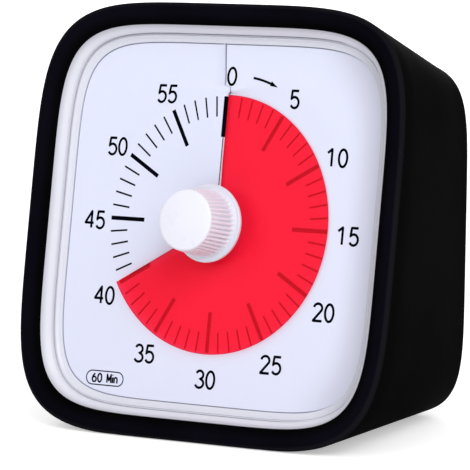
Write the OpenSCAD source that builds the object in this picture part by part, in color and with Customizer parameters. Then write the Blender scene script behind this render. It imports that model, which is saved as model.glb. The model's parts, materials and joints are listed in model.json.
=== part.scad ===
// Sixty-minute visual countdown timer: a rounded square case in a stretched
// silicone cover, a recessed dial with a slit, a red film disc that a centre
// knob screws through the slit, and a quartz movement behind it.
//
// Dial frame: +X right, +Y up the dial, +Z out of the dial, with the origin at
// the dial's centre, half way through the dial plate. in_place() leans the
// whole timer back so that it sits flat on the underside of its cover.

/* [Body] */
// Width and height of the cover where its front edge meets its sides
body_w = 90.4; // [84:0.2:96]
// Width and height of the cover where its sides meet the rounded rear edge
rear_w = 75.1; // [72:0.1:80]
// Depth of the sides, from the front edge to the rear edge
body_depth = 40.2; // [38:0.5:46]
// Squareness of the front outline, as the exponent of a superellipse
front_shape = 4.85; // [4.2:0.05:6]
// Squareness of the outline at the inner edge of the front band
lip_shape = 5.45; // [4.6:0.05:6.5]
// Squareness of the rear outline
rear_shape = 6.3; // [5:0.1:8]
// Height of the rear outline's centre above the dial's centre
rear_rise = 1.5; // [0.5:0.1:2.5]
// Angle between the rear face and the dial, deeper at the bottom
rear_tilt = 7.7; // [5:0.1:10]

/* [Silicone cover] */
// Wall of the cover along the sides
cover_t = 2; // [1.6:0.1:2.4]
// Width of the black band round the front
band_w = 4.4; // [3.8:0.1:5]
// Thickness of the band at its inner edge
band_t = 1.1; // [0.9:0.1:1.4]
// Height of the band's outer edge over its inner edge
band_rise = 1; // [0.3:0.1:1.4]
// Radius from the band to the sides
front_edge_r = 0.8; // [0.6:0.1:1.5]
// Radius of the rear edge
rear_edge_r = 2.5; // [2:0.1:3]
// Share of the room beside the battery door that the rear lip takes
rear_lip_share = 0.585; // [0.55:0.005:0.62]
// Thickness of that lip
rear_lip_t = 1.5; // [1.2:0.1:1.8]
// Height of the strip taken off the bowed underside to make it flat
foot_cut = 0.4; // [0.2:0.05:0.8]

/* [Case] */
// Wall of the case shells
case_wall = 2; // [1.6:0.1:2.4]
// Depth of the dial plate's front face below the inner edge of the band
dial_recess = 3.85; // [3.5:0.05:4.4]
// Depth of the white rim's outer edge below the inner edge of the band
rim_sink = 0.4; // [0.1:0.05:0.6]
// Width of the sloping white rim
rim_w = 1.55; // [1.2:0.05:1.8]
// Depth of that slope
rim_drop = 1.65; // [1.2:0.05:2]
// Width of the ledge that carries the dial plate
ledge_w = 2.35; // [2:0.05:2.7]
// Height of the ring that holds the plate down
bezel_h = 0.87; // [0.6:0.01:1.2]
// Width of that ring
bezel_w = 1.4; // [1.2:0.05:1.6]
// Wall between the disc chamber and the movement
bulkhead_t = 1.8; // [1.4:0.1:2.4]
// Depth of the seam between the shells, below the bulkhead
seam_depth = 15.2; // [14:0.1:16]
// Depth of the tongue that lines up the two shells
tongue_h = 1.2; // [0.8:0.1:1.6]

/* [Dial and disc] */
// Thickness of the dial plate
plate_t = 0.5; // [0.4:0.05:0.7]
// Radius of the hole in the dial plate
plate_hole_r = 5.5; // [5.4:0.1:6.2]
// Width of the slit
slit_w = 0.5; // [0.3:0.1:1]
// Sideways step of the seam that carries the slit on outside the disc
slit_jog = 1.3; // [0:0.1:1.6]
// Further sideways drift of that seam up to the plate's edge
seam_drift = 0.7; // [0:0.1:1]
// Width of the seam
seam_w = 0.15; // [0.1:0.05:0.5]
// Radius of the red disc
film_r = 26.8; // [25:0.1:27.5]
// Thickness of the red disc
film_t = 0.2; // [0.15:0.05:0.3]
// Rise of the disc over one turn
film_pitch = 2.4; // [2.2:0.1:3]
// Clearance between the disc and the lips of the slit
film_gap = 0.2; // [0.15:0.05:0.3]
// Minutes shown at rest
set_minutes = 40; // [5:1:55]
// Outer radius of the disc's hub
hub_r = 5; // [4.6:0.1:5.2]

/* [Knob] */
// Height of the knob's cap over the dial plate
knob_h = 12.8; // [11:0.1:15]
// Radius of the flange
flange_r = 8.1; // [7.5:0.1:9]
// Thickness of the flange at its rim
flange_t = 1.1; // [0.8:0.1:1.5]
// Radius of the grip where it leaves the flange
grip_r = 6.9; // [6.5:0.1:7.2]
// Radius of the grip where it rounds into the cap
grip_top_r = 6.4; // [6.1:0.1:6.8]
// Number of flutes round the grip
flutes = 44; // [30:1:60]
// Depth of the flutes at the bottom of the grip
flute_depth = 0.45; // [0.3:0.05:0.6]
// Radius of the knob's stem, inside the disc's hub
stem_r = 2.5; // [2.3:0.1:3]
// Radius of the arbor
arbor_r = 1.5; // [1.2:0.1:1.6]

/* [Gear train] */
// Teeth of the minute wheel and of the pinion that drives it
minute_teeth = [64, 8];
// Teeth of the third wheel and of the pinion that drives it
third_teeth = [60, 8];
// Teeth of the seconds wheel and of the pinion that drives it
seconds_teeth = [40, 10];
// Teeth of the fifth wheel and of the rotor's pinion
fifth_teeth = [60, 8];
// Module of the minute wheel
minute_module = 0.35; // [0.3:0.01:0.36]
// Module of the third and fifth wheels
fine_module = 0.3; // [0.28:0.01:0.31]
// Module of the seconds wheel
seconds_module = 0.4; // [0.38:0.01:0.41]
// Thickness of the wheels
wheel_t = 0.8; // [0.6:0.1:1]
// Radius of the pivots
pivot_r = 0.5; // [0.4:0.05:0.6]
// Running clearance of every shaft in its hole
run_gap = 0.05; // [0.03:0.01:0.08]

/* [Battery and controls] */
// Radius of the AA cell
cell_r = 7.1; // [6.9:0.05:7.2]
// Length of the AA cell with its button
cell_l = 50.5; // [49:0.1:50.6]
// Thickness of the battery door
door_t = 1.6; // [1.4:0.1:2]
// Gap round the battery door
door_gap = 0.3; // [0.2:0.05:0.4]
// Radius of the door's hinge pins
door_pin_r = 0.8; // [0.6:0.05:0.8]
// Travel of the sound switch
switch_travel = 3; // [2:0.5:4]
// Radius of the buzzer
buzzer_r = 8.7; // [7.5:0.1:9]
// Radius of the insulation of the leads
lead_r = 0.45; // [0.35:0.05:0.5]

/* [Hidden] */
$fn = 64;

// Clearances of pieces that don't move against each other
fit = 0.1;
eps = 0.01;

// Levels along the dial's axis
plate_z = plate_t / 2;
lip_z = plate_z + dial_recess;
crest_z = lip_z + band_rise;
front_z = crest_z - front_edge_r;
rear_z0 = front_z - body_depth;
under_band_z = lip_z - band_t;
rim_z = lip_z - rim_sink;
groove_z = rim_z - rim_drop;
ledge_z = -plate_t / 2;
hub_over = 0.25;
key_w = 0.9;
key_r = 3.1;
chamber_z = -(film_pitch + hub_over + 0.35);
movement_z = chamber_z - bulkhead_t;
seam_z = movement_z - seam_depth;
flange_z = film_pitch + hub_over + 0.5;
cap_z = plate_z + knob_h;
cap_round_r = grip_top_r - 0.45;
cap_dome = 0.35;

// Insets from the cover's front outline
case_in = cover_t + fit;
rim_in = band_w + fit;
recess_in = rim_in + rim_w + 0.1;
bezel_in = recess_in + 0.3;
chamber_in = recess_in + ledge_w;
core_in = case_in + case_wall;

// The disc's set angle, and how its helix passes the slit
set_angle = 6 * set_minutes;
lip_step = plate_t / 2 + film_t / 2 + film_gap;
ramp_angle = 360 * lip_step / film_pitch;
disc_top_z = film_pitch * set_angle / 360;

// ---------------------------------------------------------------- outlines

ring_n = 80;
function spow(v, p) = sign(v) * pow(abs(v), p);
function super(half, shape, i) =
    let(a = 360 * i / ring_n)
    [half * spow(cos(a), 2 / shape), half * spow(sin(a), 2 / shape)];
function shape_in(d) = front_shape + (lip_shape - front_shape) * d / band_w;

// Ring d inside the front outline at height z
function front_ring(d, z) =
    [for (i = [0:ring_n - 1])
        let(p = super(body_w / 2 - d, shape_in(d), i)) [p[0], p[1], z]];
function rear_point(d, w, i) =
    let(p = super(rear_w / 2 - d, rear_shape, i))
    [p[0],
     rear_rise + p[1] * cos(rear_tilt) + w * sin(rear_tilt),
     rear_z0 + p[1] * sin(rear_tilt) - w * cos(rear_tilt)];
// Ring d inside the rear outline, w behind the plane where the rear edge starts
function rear_ring(d, w) = [for (i = [0:ring_n - 1]) rear_point(d, w, i)];
// Ring d inside the tapered sides, at height z
function side_ring(d, z) =
    [for (i = [0:ring_n - 1])
        let(p = super(body_w / 2 - d, shape_in(d), i),
            f = [p[0], p[1], front_z],
            r = rear_point(d, 0, i),
            s = (z - front_z) / (r[2] - front_z))
        f + s * (r - f)];

// Skin through a list of rings: open rings get flat caps, a loop closes on itself
module skin(rings, loop = false) {
    n = len(rings[0]);
    m = len(rings);
    strips = loop ? m : m - 1;
    sides = [for (k = [0:strips - 1], j = [0:n - 1])
        let(a = k * n + j,
            b = k * n + (j + 1) % n,
            c = ((k + 1) % m) * n + (j + 1) % n,
            d = ((k + 1) % m) * n + j)
        each [[a, d, c], [a, c, b]]];
    caps = loop ? [] : [[for (j = [0:n - 1]) j],
                        [for (j = [n - 1:-1:0]) (m - 1) * n + j]];
    polyhedron(points = [for (r = rings) each r], faces = concat(sides, caps));
}

// The lean that puts the underside level, and the seat on the surface
bottom_front = [-body_w / 2, front_z];
bottom_rear = [rear_rise - rear_w / 2 * cos(rear_tilt),
               rear_z0 - rear_w / 2 * sin(rear_tilt)];
lean = atan2(bottom_rear[0] - bottom_front[0], bottom_front[1] - bottom_rear[1]);
function world_y(y, z) = y * sin(lean) - z * cos(lean);
function world_z(y, z) = y * cos(lean) + z * sin(lean);
seat_z = -world_z(bottom_front[0], bottom_front[1]) - foot_cut;
front_y = min(world_y(-body_w / 2 + front_edge_r, crest_z),
              world_y(-cap_round_r, cap_z - cap_dome));
rear_y = world_y(rear_rise + (rear_w / 2 - 0.5) * cos(rear_tilt) + rear_edge_r * sin(rear_tilt),
                 rear_z0 + (rear_w / 2 - 0.5) * sin(rear_tilt) - rear_edge_r * cos(rear_tilt));
seat_y = -(front_y + rear_y) / 2;
module in_place() {
    translate([0, seat_y, seat_z]) rotate([90 - lean, 0, 0]) children();
}

// Frame of the rear face: +Z forwards, Z = 0 where the rear edge starts to round
module on_rear() {
    translate([0, rear_rise, rear_z0]) rotate([rear_tilt, 0, 0]) children();
}
function from_rear(p) =
    [p[0],
     rear_rise + p[1] * cos(rear_tilt) - p[2] * sin(rear_tilt),
     rear_z0 + p[1] * sin(rear_tilt) + p[2] * cos(rear_tilt)];
rear_face = -rear_edge_r;
rear_wall_in = rear_face + case_wall;

// ------------------------------------------------------------ sleeve, shells

module silicone_cover() {
    round_front = [for (a = [0:30:90])
        front_ring(front_edge_r * (1 - cos(a)), front_z + front_edge_r * sin(a))];
    round_rear = [for (a = [90:-22.5:0])
        rear_ring(rear_edge_r * (1 - cos(a)), rear_edge_r * sin(a))];
    rings = concat(
        [rear_ring(rear_lip_w, rear_edge_r)],
        round_rear,
        round_front,
        [front_ring(band_w - 0.3, lip_z + 0.05),
         front_ring(band_w, lip_z - 0.25),
         front_ring(band_w, under_band_z),
         front_ring(cover_t, under_band_z),
         rear_ring(cover_t, rear_edge_r - rear_lip_t),
         rear_ring(rear_lip_w, rear_edge_r - rear_lip_t)]);
    color([0.05, 0.05, 0.06]) difference() {
        in_place() skin(rings, loop = true);
        translate([-body_w, -body_w, -body_w]) cube([2 * body_w, 2 * body_w, body_w]);
    }
}

// Corner posts that the four long screws hold together
post_x = 27;
post_y = [28.3, -25.2];
post_r = 3.3;
screw_seat_z = -29;
screw_l = 16;
screw_r = 1.2;
screw_head_r = 2.3;
screw_head_h = 1.6;
module at_posts() {
    for (x = [-post_x, post_x], y = post_y) translate([x, y, 0]) children();
}

// Short screws that hold the movement against the bulkhead
lug_x = 29;
lug_y = [20, -9];
lug_z = movement_z - 5;
lug_t = 1.6;
lug_r = 3;
lug_screw_l = 5.5;
module at_lugs() {
    for (x = [-lug_x, lug_x], y = lug_y) translate([x, y, 0]) children();
}

module front_case() {
    rings = [
        side_ring(core_in, movement_z),
        side_ring(core_in, seam_z),
        side_ring(case_in, seam_z),
        side_ring(case_in, under_band_z - fit),
        front_ring(rim_in, under_band_z - fit),
        front_ring(rim_in, rim_z - 0.1),
        front_ring(rim_in + 0.12, rim_z),
        front_ring(rim_in + 0.5 * rim_w, rim_z - 0.47 * rim_drop),
        front_ring(rim_in + rim_w, groove_z),
        front_ring(recess_in, groove_z - 0.15),
        front_ring(recess_in, ledge_z),
        front_ring(chamber_in, ledge_z),
        front_ring(chamber_in, chamber_z)];
    color([0.93, 0.93, 0.95]) in_place() difference() {
        union() {
            skin(rings);
            translate([0, 0, seam_z]) at_posts() cylinder(r = post_r, h = movement_z - seam_z + eps);
            translate([0, 0, lug_z]) at_lugs() cylinder(r = lug_r, h = movement_z - lug_z + eps);
        }
        translate([0, 0, movement_z - eps]) cylinder(r = snout_r + fit, h = bulkhead_t + 2 * eps);
        translate([0, 0, seam_z - eps]) at_posts()
            cylinder(r = screw_r + run_gap, h = screw_l + screw_seat_z - seam_z + 1);
        translate([0, 0, lug_z - eps]) at_lugs()
            cylinder(r = screw_r + run_gap, h = lug_screw_l - lug_t + 0.5);
        // rebate for the rear shell's tongue
        difference() {
            skin([side_ring(core_in - case_wall / 2, seam_z - eps),
                  side_ring(core_in - case_wall / 2, seam_z + tongue_h + fit)]);
            at_posts() translate([0, 0, seam_z - 1]) cylinder(r = post_r, h = tongue_h + 2);
            skin([side_ring(core_in + 8, seam_z - 1), side_ring(core_in + 8, seam_z + tongue_h + 1)]);
        }
    }
}

// Battery bay, measured in the frame of the rear face
bay_y = -12;
bay_wall = 1.3;
bay_side = 0.5;
cell_z = rear_face + door_t + fit + 0.4 + cell_r;
bay_in_z = cell_z + cell_r + 0.3;
contact_t = 0.4;
contact_gap = 0.1;
nub_l = 1.3;
spring_l = 6.4;
bay_x = [-(cell_l + spring_l + 2 * contact_t) / 2 - contact_gap, (cell_l + spring_l + 2 * contact_t) / 2 + contact_gap];
bay_half_y = cell_r + bay_side;
door_x = bay_x[1] + 0.9;
door_y = [bay_y - bay_half_y - 1.9, bay_y + bay_half_y + 1.4];
// Width of the cover's lip over the rear edge of the case
rear_lip_w = rear_lip_share * (rear_w / 2 - door_x);
pin_y = door_y[0] + door_t / 2;
pin_z = rear_face + door_t / 2;
pin_l = 1.2;
frame_wall = 1.7;
frame_z = rear_face + door_t + 1.9;

// Sound switch and buzzer, in the same frame
switch_at = [17, 14];
switch_button = [4.6, 3.4, 1.5];
switch_stem = [2.4, 2.2];
switch_pocket = 1;
buzzer_at = [-17, 13.5];
buzzer_h = 3.6;

module bay_box(x0, x1, half_y, z0, z1) {
    translate([x0, bay_y - half_y, z0]) cube([x1 - x0, 2 * half_y, z1 - z0]);
}

module rear_cover() {
    rebate = rear_edge_r - rear_lip_t - fit;
    rings = [
        rear_ring(rear_lip_w + fit + 0.4, rear_edge_r),
        rear_ring(rear_lip_w + fit, rear_edge_r - 0.4),
        rear_ring(rear_lip_w + fit, rebate),
        rear_ring(case_in, rebate),
        side_ring(case_in, seam_z),
        side_ring(core_in - case_wall / 2 + fit, seam_z),
        side_ring(core_in - case_wall / 2 + fit, seam_z + tongue_h),
        side_ring(core_in, seam_z + tongue_h),
        rear_ring(core_in, rebate - case_wall),
        rear_ring(rear_lip_w + case_wall, rebate - case_wall),
        rear_ring(rear_lip_w + case_wall, rear_edge_r - case_wall)];
    color([0.93, 0.93, 0.95]) in_place() difference() {
        union() {
            difference() {
                skin(rings);
                // the tongue stops short of the corner posts of the front shell
                translate([0, 0, seam_z]) at_posts() cylinder(r = post_r + 0.3, h = tongue_h + 1);
            }
            intersection() {
                translate([0, 0, seam_z - 30]) at_posts() cylinder(r = post_r, h = 30);
                skin([rear_ring(rear_lip_w + 0.7 * case_wall, rear_edge_r - 0.5),
                      rear_ring(rear_lip_w + 0.7 * case_wall, rebate - 0.4),
                      rear_ring(case_in + 0.5, rebate - 0.5), side_ring(case_in + 0.5, seam_z)]);
            }
            on_rear() {
                bay_box(bay_x[0] - bay_wall, bay_x[1] + bay_wall, bay_half_y + bay_wall,
                        rear_wall_in - 0.5, bay_in_z + bay_wall);
                translate([-door_x - frame_wall, door_y[0] - door_gap - frame_wall, rear_face + 0.5])
                    cube([2 * (door_x + frame_wall),
                          door_y[1] - door_y[0] + 2 * (door_gap + frame_wall), frame_z - rear_face - 0.5]);
                translate([buzzer_at[0], buzzer_at[1], rear_wall_in - 0.5])
                    cylinder(r = buzzer_r + fit + 1.2, h = buzzer_h);
                translate([switch_at[0] - 7.2, switch_at[1] - 3.2, rear_wall_in - 0.5])
                    cube([14.4, 6.4, 2.5]);
            }
        }
        on_rear() {
            // bay, door opening and the door's hinge sockets
            bay_box(bay_x[0], bay_x[1], bay_half_y, rear_face - 1, bay_in_z);
            translate([-door_x - door_gap, door_y[0] - door_gap, rear_face - 1])
                cube([2 * (door_x + door_gap), door_y[1] - door_y[0] + 2 * door_gap, door_t + fit + 1]);
            for (s = [-1, 1])
                translate([s * (door_x + door_gap - eps), pin_y, pin_z])
                    rotate([0, s * 90, 0]) cylinder(r = door_pin_r + run_gap, h = pin_l - door_gap + 0.2);
            // slots for the tails of the two contacts
            for (s = [-1, 1])
                translate([s * (bay_x[1] - contact_gap - contact_t / 2) - contact_t / 2 - fit,
                           bay_y + 1.9, bay_in_z - 1])
                    cube([contact_t + 2 * fit, 4.2, bay_wall + 2]);
            // finger notch at the door's latch
            translate([0, door_y[1] + 0.6, rear_face - 4.2]) rotate([0, 90, 0])
                cylinder(r = 5, h = 12, center = true);
            // sound holes
            translate([buzzer_at[0], buzzer_at[1], rear_face - 1]) {
                cylinder(r = 0.7, h = 4, $fn = 24);
                for (a = [0:60:300]) rotate(a) translate([3.2, 0, 0]) cylinder(r = 0.7, h = 4, $fn = 24);
            }
            translate([buzzer_at[0], buzzer_at[1], rear_wall_in])
                cylinder(r = buzzer_r + fit, h = buzzer_h + 1);
            // pocket, slot and seat of the sound switch
            translate([switch_at[0] - (switch_button[0] + switch_travel) / 2 - 0.3,
                       switch_at[1] - switch_button[1] / 2 - 0.3, rear_face - 1])
                cube([switch_button[0] + switch_travel + 0.6, switch_button[1] + 0.6, 1 + switch_pocket]);
            translate([switch_at[0] - (switch_stem[0] + switch_travel) / 2 - 0.3,
                       switch_at[1] - switch_stem[1] / 2 - 0.3, rear_face - 1])
                cube([switch_stem[0] + switch_travel + 0.6, switch_stem[1] + 0.6, 6]);
            translate([switch_at[0] - 6 - fit, switch_at[1] - 2 - fit, rear_wall_in])
                cube([12 + 2 * fit, 4 + 2 * fit, 4]);
        }
        at_posts() {
            translate([0, 0, screw_seat_z]) cylinder(r = screw_r + 0.2, h = 20);
            translate([0, 0, screw_seat_z - 30]) cylinder(r = screw_head_r + 0.3, h = 30);
        }
    }
}

module pan_screw(length) {
    difference() {
        union() {
            cylinder(r = screw_r, h = length);
            translate([0, 0, -screw_head_h]) cylinder(r1 = screw_head_r - 0.35, r2 = screw_head_r, h = screw_head_h);
        }
        translate([0, 0, -screw_head_h + 0.35]) for (a = [0, 90]) rotate(a)
            cube([2.6, 0.5, 0.8], center = true);
    }
}

module case_screws() {
    color([0.7, 0.7, 0.72]) in_place() translate([0, 0, screw_seat_z]) at_posts() pan_screw(screw_l);
}

// ------------------------------------------------------------- dial and disc

module bezel_ring() {
    rings = [
        front_ring(bezel_in, plate_z),
        front_ring(bezel_in, plate_z + bezel_h - 0.12),
        front_ring(bezel_in + 0.1, plate_z + bezel_h),
        front_ring(bezel_in + bezel_w / 2, plate_z + 0.4 * bezel_h),
        front_ring(bezel_in + bezel_w, plate_z + 0.24 * bezel_h),
        front_ring(bezel_in + bezel_w, plate_z)];
    color([0.95, 0.95, 0.97]) in_place() skin(rings, loop = true);
}

plate_steps = 72;
plate_half = body_w / 2 - bezel_in;
function plate_edge(a) =
    plate_half / pow(pow(abs(sin(a)), shape_in(bezel_in)) + pow(abs(cos(a)), shape_in(bezel_in)),
                     1 / shape_in(bezel_in));
// Height of the plate's middle plane: the lip right of the slit dips and the left one rises
function plate_lift(a) =
    a < ramp_angle ? -lip_step * (1 - a / ramp_angle)
    : a > 360 - ramp_angle ? lip_step * (1 - (360 - a) / ramp_angle)
    : 0;
function plate_section(j) =
    let(a = 360 * j / plate_steps,
        lift = plate_lift(a),
        edge = plate_edge(a),
        side = j == 0 ? 1 : j == plate_steps ? -1 : 0,
        open = side * slit_w / 2,
        shut = side * seam_w / 2 - abs(side) * slit_jog,
        end = shut - abs(side) * seam_drift,
        stations = [[plate_hole_r, lift, open], [film_r + 1.6, lift, open], [film_r + 2, lift, shut],
                    [edge - 3, lift * 0.3, (shut + 2 * end) / 3], [edge - 2.2, 0, (shut + 4 * end) / 5],
                    [edge, 0, end]])
    concat(
        [for (s = stations) [s[0] * sin(a) + s[2], s[0] * cos(a), s[1] + plate_t / 2]],
        [for (i = [len(stations) - 1:-1:0]) let(s = stations[i])
            [s[0] * sin(a) + s[2], s[0] * cos(a), s[1] - plate_t / 2]]);
module dial_plate() {
    color([0.9, 0.92, 1]) in_place() skin([for (j = [plate_steps:-1:0]) plate_section(j)]);
}

film_steps = 90;
// The disc is one turn of a screw surface, cut along the radius at the set angle
function film_section(j) =
    let(a = set_angle - 360 * j / film_steps,
        z = film_pitch * a / 360,
        grow = 1 / cos(180 / film_steps))
    [for (p = [[(hub_r + 0.01) * grow, film_t / 2], [film_r, film_t / 2],
               [film_r, -film_t / 2], [(hub_r + 0.01) * grow, -film_t / 2]])
        [p[0] * sin(a), p[0] * cos(a), z + p[1]]];
module red_disc() {
    color([1, 0.15, 0.24]) in_place() skin([for (j = [0:film_steps]) film_section(j)]);
}

module disc_hub() {
    color([0.85, 0.1, 0.18]) in_place()
        translate([0, 0, disc_top_z - film_pitch - hub_over]) difference() {
            cylinder(r = hub_r, h = film_pitch + 2 * hub_over);
            translate([0, 0, -1]) cylinder(r = stem_r + run_gap, h = film_pitch + 2 * hub_over + 2);
            stem_keys(0.08, -1, film_pitch + 2 * hub_over + 2);
        }
}
// Two keys make the hub turn with the stem while it climbs along it
module stem_keys(grow, z, h) {
    translate([-key_r - grow, -key_w / 2 - grow, z]) cube([2 * (key_r + grow), key_w + 2 * grow, h]);
}

// ---------------------------------------------------------------------- knob

grip_z = flange_z + flange_t + 0.9;
socket_z = cap_z - 4;
function fluted(i) =
    let(a = 360 * i / (4 * flutes),
        deep = [0, 0.75, 1, 0.75][i % 4])
    (grip_r + 0.02 - flute_depth * deep) * [cos(a), sin(a)];
module knob_profile() {
    dome_r = (cap_round_r * cap_round_r + cap_dome * cap_dome) / (2 * cap_dome);
    polygon(concat(
        [[0, flange_z], [flange_r - 0.3, flange_z], [flange_r, flange_z + 0.3],
         [flange_r, flange_z + flange_t - 0.35], [flange_r - 0.15, flange_z + flange_t - 0.1],
         [flange_r - 0.4, flange_z + flange_t], [grip_r + 0.35, grip_z - 0.6],
         [grip_r + 0.1, grip_z - 0.3], [grip_r, grip_z],
         [grip_top_r, cap_z - cap_dome - 0.7], [grip_top_r - 0.15, cap_z - cap_dome - 0.25],
         [cap_round_r, cap_z - cap_dome]],
        [for (a = [asin(cap_round_r / dome_r):-1:0])
            [dome_r * sin(a), cap_z - dome_r + dome_r * cos(a)]],
        [[0, cap_z]]));
}
module knob() {
    color([0.97, 0.97, 0.99]) in_place() difference() {
        union() {
            intersection() {
                rotate_extrude($fn = 96) knob_profile();
                union() {
                    translate([0, 0, grip_z]) linear_extrude(cap_z - grip_z + 1)
                        polygon([for (i = [0:4 * flutes - 1]) fluted(i)]);
                    translate([0, 0, flange_z - 1]) cylinder(r = flange_r + 1, h = grip_z - flange_z + 1);
                }
            }
            translate([0, 0, chamber_z + 0.2]) cylinder(r = stem_r, h = flange_z - chamber_z);
            stem_keys(0, chamber_z + 0.2, flange_z - chamber_z);
        }
        translate([0, 0, chamber_z]) arbor_shaft(socket_z - chamber_z, 0.02);
        // the moulding is hollow round its stem
        translate([0, 0, flange_z - eps]) difference() {
            cylinder(r = grip_r - 1.9, h = cap_z - flange_z - 2.4);
            translate([0, 0, -1]) cylinder(r = stem_r + 0.5, h = cap_z);
        }
    }
}

// Arbor with a flat on its upper end, which the knob's socket fits
flat_x = 0.9;
module arbor_shaft(h, grow) {
    difference() {
        cylinder(r = arbor_r + grow, h = h);
        translate([flat_x + grow, -5, -1]) cube([5, 10, h + 2]);
    }
}

snout_r = 3.9;
minute_z = movement_z - 2.5;
cam_z = movement_z - 8.6;
lid_z = movement_z - 12.8;
lid_t = 1.3;
module knob_arbor() {
    color([0.82, 0.75, 0.5]) in_place() {
        translate([0, 0, movement_z - 1]) arbor_shaft(socket_z - 0.3 - movement_z + 1, 0);
        translate([0, 0, lid_z - lid_t + 0.2]) cylinder(r = arbor_r, h = movement_z - 1 - lid_z + lid_t - 0.2);
        translate([0, 0, minute_z + wheel_t / 2 + 0.1]) cylinder(r = arbor_r + 0.7, h = 0.5);
    }
}

cam_r = 3.2;
module alarm_cam() {
    color([0.9, 0.9, 0.85]) in_place() translate([0, 0, cam_z]) rotate(-30) difference() {
        cylinder(r = cam_r, h = 1);
        translate([0, 0, -1]) cylinder(r = arbor_r + 0.02, h = 3);
        translate([cam_r + 0.3, 0, -1]) cylinder(r = 0.9, h = 3);
    }
}

module clutch_spring() {
    top = minute_z - wheel_t / 2 - 0.1;
    color([0.8, 0.68, 0.35]) in_place() {
        translate([0, 0, top - 0.25]) difference() {
            union() {
                cylinder(r = arbor_r + 0.6, h = 0.25);
                for (a = [0:120:240]) rotate(a) translate([0, -0.7, 0]) cube([4.4, 1.4, 0.25]);
            }
            translate([0, 0, -1]) cylinder(r = arbor_r + 0.02, h = 2);
        }
        translate([0, 0, top - 0.75]) difference() {
            cylinder(r = arbor_r + 0.6, h = 0.5);
            translate([0, 0, -1]) cylinder(r = arbor_r + 0.02, h = 2);
        }
    }
}

// ---------------------------------------------------------------- gear train

addendum = 0.85;
dedendum = 1.25;
thinning = 0.25;
flank_n = 4;
pressure = 20;
function involute(r, rb) = let(c = min(1, rb / r), a = acos(c)) tan(a) * 180 / PI - a;
function tooth(m, z, c) =
    let(rp = m * z / 2,
        rb = rp * cos(pressure),
        ra = rp + addendum * m,
        rf = rp - dedendum * m,
        r0 = max(rb, rf),
        half = 90 / z - thinning * m / 2 / rp * 180 / PI + involute(rp, rb),
        rise = [for (i = [0:flank_n - 1]) r0 + (ra - r0) * i / (flank_n - 1)])
    concat(
        [rf * [cos(c - half), sin(c - half)]],
        [for (r = rise) let(a = c - half + involute(r, rb)) r * [cos(a), sin(a)]],
        [for (i = [flank_n - 1:-1:0]) let(r = rise[i], a = c + half - involute(r, rb)) r * [cos(a), sin(a)]],
        [rf * [cos(c + half), sin(c + half)]]);
module gear(m, z, h, phase) {
    rotate(phase) linear_extrude(h) polygon([for (k = [0:z - 1]) each tooth(m, z, 360 * k / z)]);
}
function gear_mate(m, teeth) = m * (teeth[0] + teeth[1]) / 2;
function along(p, a, d) = p + d * [cos(a), sin(a)];
// Direction from each wheel to the one that drives it
third_dir = 180;
seconds_dir = 105;
fifth_dir = 20;
rotor_dir = 0;
minute_at = [0, 0];
third_at = along(minute_at, third_dir, gear_mate(minute_module, minute_teeth));
seconds_at = along(third_at, seconds_dir, gear_mate(fine_module, third_teeth));
fifth_at = along(seconds_at, fifth_dir, gear_mate(seconds_module, seconds_teeth));
rotor_at = along(fifth_at, rotor_dir, gear_mate(fine_module, fifth_teeth));
third_z = minute_z - 2.1;
seconds_z = third_z - 2;
fifth_z = seconds_z - 2;
tray_floor = 1.2;
tray_z = movement_z - tray_floor;

// A wheel's tooth space faces the tooth of the pinion that drives it
module driven(m, teeth, dir, z) {
    translate([0, 0, z - wheel_t / 2]) gear(m, teeth[0], wheel_t, dir + 180 / teeth[0]);
}
module pinion(m, teeth, dir, z) {
    translate([0, 0, z - wheel_t]) gear(m, teeth[1], 2 * wheel_t, dir + 180);
}
// Staff with a pivot at each end, running in the tray and the lid
module staff(r, top, low) {
    translate([0, 0, low]) cylinder(r = r, h = top - low);
    translate([0, 0, lid_z - lid_t + 0.3]) cylinder(r = pivot_r, h = movement_z - 0.3 - lid_z + lid_t - 0.3);
}

module minute_wheel() {
    color([0.95, 0.94, 0.88]) in_place() difference() {
        driven(minute_module, minute_teeth, third_dir, minute_z);
        translate([0, 0, minute_z - 2]) cylinder(r = arbor_r + run_gap, h = 4);
        for (a = [0:72:288]) rotate(a) translate([6.6, 0, minute_z - 2]) cylinder(r = 1.9, h = 4);
    }
}
module third_wheel() {
    color([0.95, 0.94, 0.88]) in_place() translate(third_at) union() {
        difference() {
            driven(fine_module, third_teeth, seconds_dir, third_z);
            for (a = [0:90:270]) rotate(a + 20) translate([5, 0, third_z - 2]) cylinder(r = 1.7, h = 4);
        }
        pinion(minute_module, minute_teeth, third_dir, minute_z);
        staff(0.9, minute_z - wheel_t / 2, third_z);
    }
}
module seconds_wheel() {
    color([0.95, 0.94, 0.88]) in_place() translate(seconds_at) union() {
        difference() {
            driven(seconds_module, seconds_teeth, fifth_dir, seconds_z);
            for (a = [0:90:270]) rotate(a + 10) translate([4.6, 0, seconds_z - 2]) cylinder(r = 1.5, h = 4);
        }
        pinion(fine_module, third_teeth, seconds_dir, third_z);
        staff(0.9, third_z - wheel_t / 2, seconds_z);
    }
}
module fifth_wheel() {
    color([0.95, 0.94, 0.88]) in_place() translate(fifth_at) union() {
        driven(fine_module, fifth_teeth, rotor_dir, fifth_z);
        pinion(seconds_module, seconds_teeth, fifth_dir, seconds_z);
        staff(0.9, seconds_z - wheel_t / 2, fifth_z);
    }
}

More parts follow.
